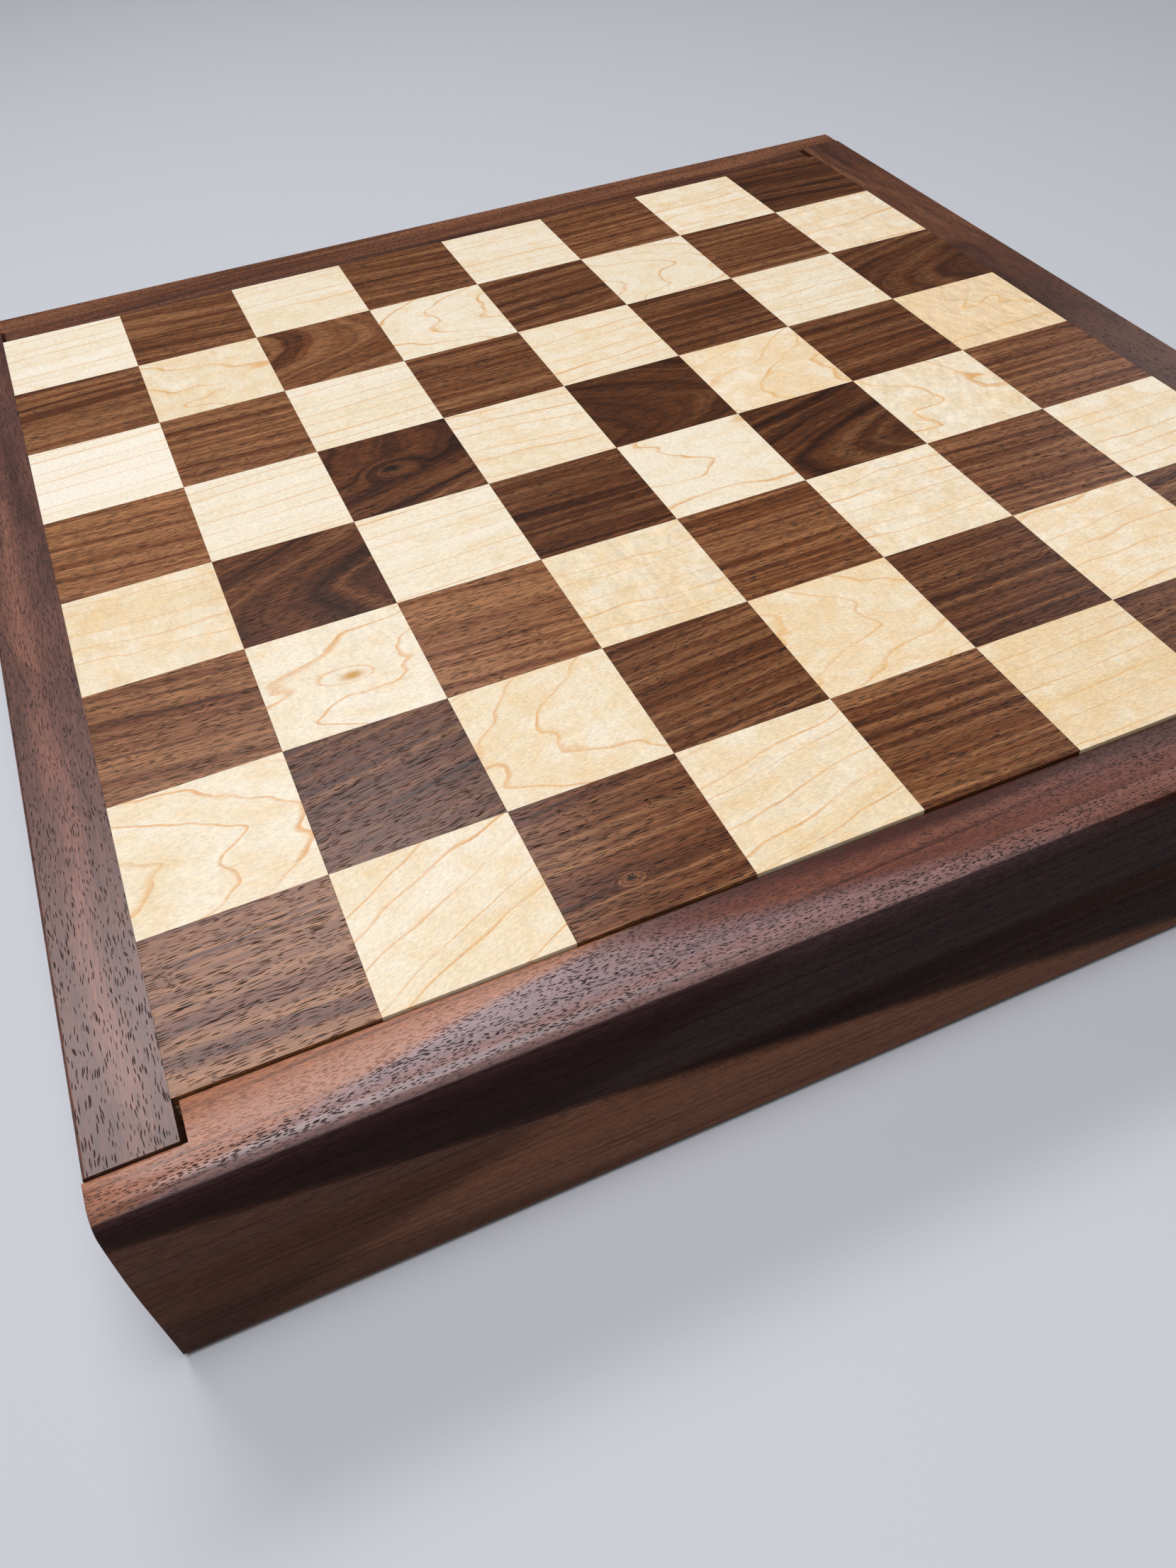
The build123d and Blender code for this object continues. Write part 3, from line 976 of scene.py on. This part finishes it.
QUARTER, RIFT, FLAT, LOOPED = Sawing
FIGURES: dict[str, Figure] = {
    "a2": Figure(LOOPED, 1, 4, 0.1, 0.3), "b1": Figure(RIFT, -1, 24, 0.1, 0.3),
    "d1": Figure(RIFT, 1, 8, 0.0, 0.5, 0.2), "f1": Figure(QUARTER, 1, 3, -0.1, 0.8),
    "c2": Figure(LOOPED, -1, 12, 0.05, 0.45), "e2": Figure(LOOPED, 1, -8, 0.3, 0.7),
    "g2": Figure(RIFT, -1, 0, 0.8, 0.7), "b3": Figure(FLAT, 1, 0, 0.1, 0.1, 0.3, (2.0, 2.0, 8.0)),
    "d3": Figure(RIFT, 1, 3, 0.0, 0.5, 0.5), "f3": Figure(RIFT, -1, -3, 0.45, 0.45, 0.4),
    "h3": Figure(RIFT, 1, 2, 0.85, 0.4, 0.3), "a4": Figure(RIFT, 1, 0, -0.05, 0.5, 0.35),
    "c4": Figure(QUARTER, 1, 2, 0.2), "e4": Figure(FLAT, -1, -14, 0.3, 0.1),
    "g4": Figure(FLAT, 1, -22, 0.5, 0.4, 0.6), "b5": Figure(QUARTER, 1, 4, 0.3, -0.1),
    "d5": Figure(RIFT, -1, 0, 0.1, 0.3), "f5": Figure(LOOPED, 1, 0, 0.85, 0.8),
    "h5": Figure(FLAT, -1, 18, 0.6, 1.2, 0.8), "a6": Figure(QUARTER, 1, 3, 0.8, -0.5),
    "c6": Figure(QUARTER, -1, 2, 0.2), "e6": Figure(RIFT, 1, 0, 0.4, 0.35),
    "g6": Figure(RIFT, -1, 2, 0.4, 0.35), "b7": Figure(FLAT, 1, 0, 0.1, 0.5, 0.3),
    "d7": Figure(LOOPED, -1, 6, 0.2, 0.1), "f7": Figure(LOOPED, 1, -6, 0.3, 0.2),
    "h7": Figure(RIFT, 1, 0, 0.95, 0.6, 0.5), "a8": Figure(QUARTER, 1, 2, 0.7),
    "c8": Figure(RIFT, 1, 0, 0.3, 0.2), "e8": Figure(QUARTER, -1, 0, 0.3, 0.2),
    "g8": Figure(RIFT, -1, 1, 0.9, 0.5), "a1": Figure(RIFT, 1, 2, 0.35),
    "c1": Figure(RIFT, -1, 0, 0.2, 0.0, 0.2, (-4.0, 9.0, 3.0)), "e1": Figure(QUARTER, 1, 0, 0.2),
    "b2": Figure(RIFT, 1, 9), "d2": Figure(QUARTER, 1, 5, 0.1), "f2": Figure(QUARTER, -1, 2),
    "a3": Figure(RIFT, 1, -2, 0.35), "c3": Figure(RIFT, -1, 0, 0.5),
    "e3": Figure(QUARTER, 1, 0, 0.35), "g3": Figure(QUARTER, 1, -2, 0.25),
    "b4": Figure(FLAT, 1, 6), "d4": Figure(RIFT, -1, 3, -0.05), "f4": Figure(FLAT, 1, 0, -0.15),
    "h4": Figure(QUARTER, 1, 0, 0.3), "a5": Figure(RIFT, 1, 0, 0.55),
    "c5": Figure(FLAT, -1, knot=(-3.0, -1.0, 9.0)), "e5": Figure(FLAT, 1, 3, -0.2),
    "g5": Figure(RIFT, 1, 0, 0.1), "b6": Figure(RIFT, 1, 2, 0.35), "d6": Figure(QUARTER, 1, 0, 0.2),
    "f6": Figure(QUARTER, -1, 1, 0.05), "h6": Figure(FLAT, 1, 0, -0.1),
    "a7": Figure(RIFT, 1, 0, 0.3), "c7": Figure(FLAT, -1, 0, 0.3), "e7": Figure(RIFT, 1, 2, 0.1),
    "g7": Figure(QUARTER, -1, 0, 0.2), "b8": Figure(RIFT, -1, 0, 0.25),
    "d8": Figure(RIFT, 1, 0, 0.2), "f8": Figure(QUARTER, 1, 2, 0.3), "h8": Figure(RIFT, 1, 0, -0.1),
}


@dataclass
class PlayingBoard:
    """The squares, each a block of wood of its own."""

    squares_a_side: int = 8
    square: float = 44.45
    ease: float = 0.08  # softened edge of every square
    nudge: float = 6.0  # how far the tree's centre strays from square to square
    seed: int = 11
    log_length: float = 900.0  # mm of pattern that the squares are cut from
    body: str = "case"
    low: Vector = field(init=False)
    high: Vector = field(init=False)
    near: float = field(init=False)  # the near edge, had the first rank its full length

    def __post_init__(self) -> None:
        """Reads the field's corners from the squares of the first and last file."""
        self.low, self.high = box_mm("file_a_walnut")[0], box_mm("file_h_walnut")[1]
        self.near = self.high.y - self.squares_a_side * self.square

    def tree(self) -> Tree:
        """Builds the tree that lays every second square of the field, and returns it."""
        nodes, given = new_group("squares of one wood", {
            "Field corner": "Vector", "Squares a side": "Int", "Square": "Float",
            "Thickness": "Float", "Near edge": "Float", "First square": "Int",
            "Wood": "Material"}, "Squares")
        tree, count, side = nodes.tree, given["Squares a side"], given["Square"]
        thick = given["Thickness"]
        span = nodes.math("MULTIPLY", nodes.math("SUBTRACT", count, 1.0), side)
        centres = add(tree, "GeometryNodeMeshGrid", None,
                      {"Size X": span, "Size Y": span, "Vertices X": count, "Vertices Y": count})
        index = add(tree, "GeometryNodeInputIndex")
        column = nodes.math("FLOOR", nodes.math("DIVIDE", index, count))
        rank = nodes.math("FLOORED_MODULO", index, count)
        parity = nodes.math("FLOORED_MODULO", nodes.math("ADD", column, rank), 2.0)
        wanted = add(tree, "FunctionNodeCompare", {"data_type": "FLOAT", "operation": "EQUAL"},
                     {0: parity, 1: given["First square"], "Epsilon": 0.1})
        block = add(tree, "GeometryNodeMeshCube", None, {"Size": nodes.join(side, side, thick)})
        half_field = nodes.math("MULTIPLY", count, side)
        middle = nodes.vector("MULTIPLY_ADD", nodes.join(half_field, half_field, thick), MIDDLE,
                              given["Field corner"])
        laid = add(tree, "GeometryNodeInstanceOnPoints", None,
                   {"Points": centres, "Selection": wanted, "Instance": block})
        real = add(tree, "GeometryNodeRealizeInstances", None, {0: laid})
        placed = add(tree, "GeometryNodeSetPosition", None, {"Geometry": real, "Offset": middle})
        x, y, z = nodes.parts(add(tree, "GeometryNodeInputPosition"))
        sawn = nodes.join(x, nodes.math("MAXIMUM", y, given["Near edge"]), z)
        trimmed = add(tree, "GeometryNodeSetPosition", None, {"Geometry": placed, "Position": sawn})
        end_group(nodes, trimmed, given["Wood"])
        return tree

    def lay(self, name: str, tree: Tree, first: int, wood: Material) -> Object:
        """Lays the squares of one wood and eases their edges.

        Args:
            name: the piece's name.
            tree: the tree that lays squares.
            first: 0 where the near left square is of this wood, else 1.
            wood: the squares' material.

        Returns:
            The squares as one plain mesh.
        """
        piece = new_object(name, bmesh.new())
        corner = (self.low.x, self.near, self.low.z)
        run_group(piece, tree, {
            "Field corner": [c * MM for c in corner], "Squares a side": self.squares_a_side,
            "Square": self.square * MM, "Thickness": (self.high.z - self.low.z) * MM,
            "Near edge": self.low.y * MM, "First square": first, "Wood": wood})
        soften(piece, self.ease, 2)
        return plain(piece)

    def figure(self, name: str) -> Figure:
        """Gives a square's figure, or for one that isn't listed, one drawn by a seed of its own."""
        draw = random.Random(f"{name} {self.seed}")
        return FIGURES.get(name) or Figure(
            draw.choice((QUARTER, RIFT)), draw.choice((-1, 1)), draw.uniform(-3, 5),
            draw.uniform(-0.2, 0.25), draw.uniform(0.0, 0.4), draw.uniform(0.0, 0.2))

    def grow(self, piece: Object) -> None:
        """Writes on every face of the squares how its block was sawn."""
        names = SquareCuts()
        attributes = piece.data.attributes
        for name in names.vectors():
            attributes.new(name, "FLOAT_VECTOR", "FACE")
        attributes.new(names.lean, "FLOAT", "FACE")
        layers = [attributes[name].data for name in names.vectors()]
        lean = attributes[names.lean].data
        for polygon in piece.data.polygons:
            column, rank = [min(int((polygon.center[i] / MM - start) / self.square),
                                self.squares_a_side - 1)
                            for i, start in enumerate((self.low.x, self.near))]
            name = f"{chr(ord('a') + column)}{rank + 1}"
            figure = self.figure(name)
            draw = random.Random(f"{name} place {self.seed}")
            across, down, taper = figure.sawing.value
            nudge = draw.uniform(-self.nudge, self.nudge)
            middle = ((column + 0.5) * self.square + self.low.x,
                      self.near + (rank + 0.5) * self.square, self.high.z)
            seed = [draw.uniform(0, self.log_length) for _ in range(3)]
            pith = (figure.side * across + nudge, down, taper * draw.choice((-1, 1)))
            shade = (figure.tone, figure.gold, figure.curl)
            for layer, value in zip(layers, (middle, seed, pith, shade, figure.knot)):
                layer[polygon.index].vector = value
            lean[polygon.index].value = math.radians(figure.lean)

    def build(self) -> None:
        """Builds the squares of both woods."""
        tree = self.tree()
        for wood, timber, first in (("walnut", WALNUT_SQUARE, 0), ("maple", MAPLE_SQUARE, 1)):
            piece = self.lay(f"{wood}_squares", tree, first, timber.material(timber.name, SquareCuts()))
            self.grow(piece)
            register(piece, self.body, f"{wood}_square",
                     *[f"file_{chr(ord('a') + column)}_{wood}" for column in range(self.squares_a_side)])


# ---- drawers ----
# Stripes on the front drawer's face: the wood's own zones of colour, with painted sheen, painted
# highlight and painted shade among them.
FRONT_FACE_STREAKS_AND_PAINTED_LIGHT = (
    Band("#74463A", (-60.0, -60.0), (24.0, 24.0), 2.0, 0.7, 0.7),
    Band("#3B1F18", (-60.0, -60.0), (-2.5, 11.0), 2.0, 0.7, 0.6),
    # painted sheen: a pale lilac grey over the top, from the left end to about the middle
    Band("#977C7C", (-12.0, 44.0), (48.0, 48.0), 3.0, 0.7),
    Band("#A96A45", (-60.0, -60.0), (21.0, -48.0), 1.6, 0.92, 0.3),
    # painted highlight: a paler strip on the roundover, just above the line where it turns dark
    Band("#9C7264", (13.0, 13.0), (20.2, 20.2), 1.2, 0.4, 1.0, True),
    # partly the wood's dark streak, widening to the right, and partly painted shade: the front is
    # darkened from the roundover's edge line down
    Band("#0C0201", (20.2, 20.2), (30.0, 101.0), 0.35, 0.78, 0.4, True),
    Band("#B67C5E", (30.0, 101.0), (200.0, 200.0), 3.0, 0.65, 0.25),
    Band("#3A1C15", (66.0, 119.0), (200.0, 200.0), 3.0, 0.45, 0.25),
    Band("#2A120D", (20.2, 20.2), (90.0, -90.0), 6.0, 0.6, 0.25),
)


@dataclass
class FaceShape:
    """Section of a drawer's face: lip, inner block, and the rounding of its outer edge."""

    roundover: float
    pillow_radius: float = 200.0
    pillow_lean: float = 0.0
    lip_thickness: float = 12.5
    block_margin: float = 20.75  # inner block's end from the lip's end
    ease: float = 0.5
    soft_edge: float = 0.15  # edges of the inner block
    crease: float = math.radians(30)  # an edge sharper than this is eased
    steps: int = 16
    hair: float = 0.01  # less than this isn't a distance

    def outline(self, low: Vector, high: Vector) -> list[Pair]:
        """Draws the lip's section with its outer side towards -Y.

        Args:
            low: lowest corner of the face, in mm.
            high: highest corner of the face, in mm.

        Returns:
            Points of Y and Z in mm, starting at the lip's inner top corner.
        """
        outer, inner = low.y, low.y + self.lip_thickness
        lean = math.acos(1 - self.pillow_lean / self.pillow_radius)
        turn = math.radians(90) - lean
        crown = Vector((outer + self.pillow_lean + self.roundover * math.sin(turn),
                        high.z - self.roundover))
        edge = [(crown.x - self.roundover * math.sin(turn * i / self.steps),
                 crown.y + self.roundover * math.cos(turn * i / self.steps))
                for i in range(self.steps + 1)]
        belly = edge[-1][1] - self.pillow_radius * math.sin(lean)
        if self.pillow_lean:
            edge += [(outer + self.pillow_radius * (1 - math.cos(lean * (1 - i / self.steps))),
                      belly + self.pillow_radius * math.sin(lean * (1 - i / self.steps)))
                     for i in range(1, self.steps + 1)]
        return [(inner, high.z), *edge, (outer, low.z), (inner, low.z)]

    def shape(self, low: Vector, high: Vector, flip: bool) -> bmesh.types.BMesh:
        """Builds a face as one closed board with its rabbets.

        Args:
            low: lowest corner of the face, in mm, with its outer side towards -Y.
            high: highest corner of the face, in mm.
            flip: true where the face stands at the other end of the box.

        Returns:
            The shape, in metres, with the edges that are to be eased marked.
        """
        outline = self.outline(low, high)
        stations = (low.x, low.x + self.block_margin, high.x - self.block_margin, high.x)
        shape = bmesh.new()
        soft = shape.edges.layers.float.new("bevel_weight_edge")
        rings = [[shape.verts.new((x, y, z)) for y, z in outline] for x in stations]
        count = len(outline)
        for bay, (near, far) in enumerate(zip(rings, rings[1:])):
            for i in range(count - (1 if bay == 1 else 0)):
                j = (i + 1) % count
                shape.faces.new((near[i], near[j], far[j], far[i]))
        _, left, right, _ = rings
        (left_top, left_low), (right_top, right_low) = [
            [shape.verts.new((x, high.y, z)) for z in (high.z, low.z)] for x in stations[1:3]]
        for corners in (rings[0][::-1], rings[-1],
                        (left[0], left_top, right_top, right[0]),
                        (left_top, left_low, right_low, right_top),
                        (left_low, left[-1], right[-1], right_low),
                        (left[0], left[-1], left_low, left_top),
                        (right[0], right_top, right_low, right[-1])):
            shape.faces.new(corners)
        bmesh.ops.recalc_face_normals(shape, faces=shape.faces[:])
        for edge in shape.edges:
            if len(edge.link_faces) == 2 and edge.calc_face_angle() > self.crease:
                outside = all(v.co.y < low.y + self.lip_thickness - self.hair for v in edge.verts)
                edge[soft] = 1.0 if outside else self.soft_edge / self.ease
        if flip:
            bmesh.ops.rotate(shape, verts=shape.verts[:], cent=(0, 0, 0),
                             matrix=Matrix.Rotation(math.pi, 3, "Z"))
        bmesh.ops.scale(shape, vec=(MM, MM, MM), verts=shape.verts[:])
        for polygon in shape.faces:
            polygon.smooth = True
        return shape


@dataclass
class Drawer:
    """A drawer: its face, the maple box behind it, its felt and its fasteners."""

    name: str
    end: int  # -1 at the front, 1 at the back
    shape: FaceShape
    bands: tuple[Band, ...] = ()
    felt_wave: float = 0.12
    felt_ease: float = 0.25
    matt_from: float = 0.72  # how squarely the matt front has to face outwards
    face_screw_count: int = 3

    def part(self, piece: str) -> str:
        """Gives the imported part's name."""
        return f"{self.name}_{piece}"

    def build_face(self) -> None:
        """Builds the face and gives it the walnut of its own board, matt on its flat front."""
        packed = low, high = box_mm(self.part("face"))
        flip = self.end > 0
        if flip:
            low, high = (Vector((-high.x, -high.y, low.z)), Vector((-low.x, -low.y, high.z)))
        piece = new_object(self.part("face_board"), self.shape.shape(low, high, flip))
        soften(piece, self.shape.ease, 3, limit_method="WEIGHT")
        for vertex in plain(piece).data.vertices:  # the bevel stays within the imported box
            vertex.co = [min(max(vertex.co[i], packed[0][i] * MM), packed[1][i] * MM)
                         for i in range(3)]
        cut = Cut(Grain.ALONG_X, (0.0, self.end * -high.y, high.z), pith=(-30.0, -45.0), taper=0.012,
                  seed=(300.0 * self.end, 50.0, 20.0), reach=(low.x, high.x), bands=self.bands)
        for timber in (WALNUT_FACE, WALNUT_FRONT):
            piece.data.materials.append(timber.material(f"{timber.name}, {self.name}", cut))
        for polygon in piece.data.polygons:
            if polygon.normal.y * self.end > self.matt_from:
                polygon.material_index = 1
        register(piece, self.name, "walnut_face", self.part("face"))

    def build_lining(self, felt: Material) -> None:
        """Lays the felt: a cut sheet with a slight wave and soft edges."""
        pad = FeltPad(felt, self.felt_ease, 2, wave=self.felt_wave, seed=f"{self.name} felt")
        piece = pad.lay(self.part("felt"), self.part("lining"))
        register(piece, self.name, "lining_felt", self.part("lining"))

    def build(self, shop: Workshop) -> None:
        """Builds the whole drawer with what the workshop holds."""
        self.build_face()
        self.build_lining(shop.lining)
        shop.screws.drive(self.part("cross_screws"), self.name, self.part("face_screws"),
                          self.face_screw_count, (0, self.end, 0))
        for number, (board, grain) in enumerate((
                ("box_front", Grain.ALONG_X), ("box_back", Grain.ALONG_X),
                ("left_side", Grain.ALONG_Y), ("right_side", Grain.ALONG_Y))):
            part = self.part(board)
            shop.dress_board(part, MAPLE_BOX, f"{MAPLE_BOX.name}, {part}", grain,
                             pith=(18.0, 60.0 + 9 * number), taper=0.03,
                             seed=(170.0 * number, 90.0 * self.end, 40.0 * number))
        shop.dress(self.part("bottom"), shop.plywood)
        shop.dress(self.part("magnets"), shop.nickel)


# ---- case ----
# Stripes on the left rail: the wood's own colour, with painted shade and painted sheen among them.
LEFT_RAIL_STREAKS_AND_PAINTED_LIGHT = (
    # painted shade: darker towards the far end of the rail
    Band("#38211C", (-60.0, -60.0), (-40.0, 60.0), 10.0, 0.35),
    # rosy grey over the top: partly the wood's own tone, partly painted sheen
    Band("#5F3F3B", (-2.0, -2.0), (24.0, 24.0), 1.0, 0.5),
    Band("#9A6650", (6.0, 11.0), (11.0, 15.0), 2.5, 0.5),
)


@dataclass
class Case:
    """The fixed case: rails, base, divider, runners, magnets, screws and felt feet."""

    body: str = "case"
    divider_screw_count: int = 3
    foot_ease: float = 0.35
    foot_bays: int = 6

    def corners(self, piece: str) -> list[str]:
        """Names the parts that stand at the four corners."""
        return [f"{end}_{side}_{piece}" for end in ("front", "back") for side in ("left", "right")]

    def build_boards(self, shop: Workshop) -> None:
        """Dresses the rails, divider and runners, each with the timber of its own board."""
        for side, name, bands in ((-1, "left_rail", LEFT_RAIL_STREAKS_AND_PAINTED_LIGHT), (1, "right_rail", ())):
            low, high = box_mm(name)
            shop.dress_board(name, WALNUT_RAIL, f"{WALNUT_RAIL.name}, {name}", Grain.ALONG_Y,
                             origin=(high.x if side < 0 else low.x, 0.0, high.z), pith=(9.0, 75.0),
                             seed=(410.0 * side, 37.0, 11.0), reach=(low.y, high.y), bands=bands)
        shop.dress_board("centre_divider", POPLAR, POPLAR.name, Grain.ALONG_X, pith=(70.0, 20.0),
                         seed=(640.0, 12.0, 5.0))
        for number, name in enumerate(self.corners("runner")):
            shop.dress_board(name, MAPLE_BOX, f"hard maple, waxed, {name}", Grain.ALONG_Y,
                             pith=(40.0, 15.0), seed=(230.0 * number, 60.0, 80.0))

    def build_feet(self, felt: Material) -> None:
        """Builds the felt feet."""
        for name in self.corners("foot"):
            low, high = box_mm(name)
            pad = FeltPad(felt, self.foot_ease, 3, bay=(high.x - low.x) / self.foot_bays)
            piece = pad.lay(f"{name}_pad", name)
            register(piece, self.body, "foot_felt", name)

    def build(self, shop: Workshop) -> None:
        """Builds the whole case with what the workshop holds."""
        self.build_boards(shop)
        for part in ("board_core", "base_panel"):
            shop.dress(part, shop.plywood)
        shop.dress("divider_magnets", shop.nickel)
        shop.screws.drive("divider_cross_screws", self.body, "divider_screws",
                          self.divider_screw_count, (0, 0, 1))
        self.build_feet(shop.foot)


# ---- studio ----
class Lamp(NamedTuple):
    """A soft lamp that faces the box, in metres and watts."""

    name: str
    place: Triple
    size: Pair
    power: float


@dataclass
class Studio:
    """A plain pale floor, a soft grey surround, four soft lamps and the camera."""

    lamps: tuple[Lamp, ...] = (
        Lamp("window", (-0.22, 0.75, 1.25), (0.85, 0.3), 8.2),
        Lamp("overhead", (-0.15, -0.3, 1.35), (0.7, 0.7), 13.2),
        Lamp("side", (1.6, 0.9, 1.2), (0.8, 0.8), 2.3),
        Lamp("fill", (-0.5, -1.5, 0.45), (1.2, 1.2), 3.1),
    )
    floor_colour: str = "#D2D3D5"
    floor_bounce: str = "#3E3F41"
    floor_roughness: float = 0.8
    floor_side: float = 40.0  # metres
    surround_colour: str = "#F4F6FA"
    surround: float = 0.06
    daylight: str = "#F6F7FF"
    target: Triple = (0.0, 0.0, 0.05)  # where the lamps point, in metres
    # the camera: its place in mm, and its right, down and forward
    eye: Triple = (-140.07, -328.97, 284.77)
    right: Triple = (0.9166, -0.3967, -0.0499)
    down: Triple = (-0.3213, -0.6567, -0.6823)
    forward: Triple = (0.2379, 0.6414, -0.7294)
    lens: float = 28.57
    film: float = 36.0
    clip: Pair = (0.01, 20.0)

    def build_floor(self) -> None:
        """Builds the floor, pale to the eye and a middle grey to the light it throws back."""
        shape = bmesh.new()
        bmesh.ops.create_grid(shape, x_segments=1, y_segments=1, size=self.floor_side / 2)
        floor = new_object("floor", shape)
        material, nodes = new_material("plain pale floor")
        seen: Any = 0.0
        for ray in ("Is Camera Ray", "Is Glossy Ray", "Is Transmission Ray"):
            seen = nodes.math("MAXIMUM", add(nodes.tree, "ShaderNodeLightPath", output=ray), seen)
        nodes.surface({"Base Color": nodes.mix(seen, self.floor_bounce, self.floor_colour),
                       "Roughness": self.floor_roughness})
        floor.data.materials.append(material)

    def build_light(self) -> None:
        """Builds the surround and the lamps."""
        scene = bpy.context.scene
        scene.world = bpy.data.worlds.new("soft surround")
        scene.world.use_nodes = True
        tree = scene.world.node_tree
        tree.nodes.clear()
        glow = add(tree, "ShaderNodeBackground", None,
                   {"Color": linear(self.surround_colour), "Strength": self.surround})
        add(tree, "ShaderNodeOutputWorld", None, {"Surface": glow})
        for lamp in self.lamps:
            light = bpy.data.lights.new(lamp.name, "AREA")
            light.shape, light.energy, light.color = "RECTANGLE", lamp.power, linear(self.daylight)[:3]
            light.size, light.size_y = lamp.size
            stand = bpy.data.objects.new(lamp.name, light)
            stand.location = lamp.place
            facing = (Vector(self.target) - Vector(lamp.place)).to_track_quat("-Z", "Y")
            stand.rotation_euler = facing.to_euler()
            scene.collection.objects.link(stand)

    def build_camera(self) -> None:
        """Stands the camera where the photograph was taken from."""
        camera = bpy.data.cameras.new("camera")
        camera.lens, camera.sensor_width = self.lens, self.film
        camera.clip_start, camera.clip_end = self.clip
        seat = bpy.data.objects.new("camera", camera)
        columns = Matrix((Vector(self.right), -Vector(self.down), -Vector(self.forward))).transposed()
        seat.matrix_world = Matrix.Translation(Vector(self.eye) * MM) @ columns.to_4x4()
        bpy.context.scene.collection.objects.link(seat)
        bpy.context.scene.camera = seat

    def build(self) -> None:
        """Builds the stage."""
        self.build_floor()
        self.build_light()
        self.build_camera()
        bpy.context.scene.view_settings.view_transform = "Standard"


def main() -> None:
    """Builds every sub-assembly in order."""
    logging.basicConfig(level=logging.INFO, format="%(name)s: %(message)s", stream=sys.stdout)
    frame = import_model()
    shop = Workshop(
        frame, Plywood().material(),
        lining=Felt("green wool felt, pressed", "#17301F", "#2F5238").material(),
        foot=Felt("brown wool felt, pressed", "#2B211B", "#4A3A30").material(),
        nickel=Plating("nickel plating", "#CFCAC2", "#B4AFA8", 0.16).material(),
        screws=Screws(Plating("zinc plating, bright", "#C9CBCC", "#A9ABAE", 0.3).material()))
    PlayingBoard().build()
    Case().build(shop)
    Drawer("front_drawer", -1, FaceShape(6.35, pillow_lean=2.1), FRONT_FACE_STREAKS_AND_PAINTED_LIGHT).build(shop)
    Drawer("back_drawer", 1, FaceShape(1.5)).build(shop)
    Studio().build()


if __name__ == "__main__":
    main()
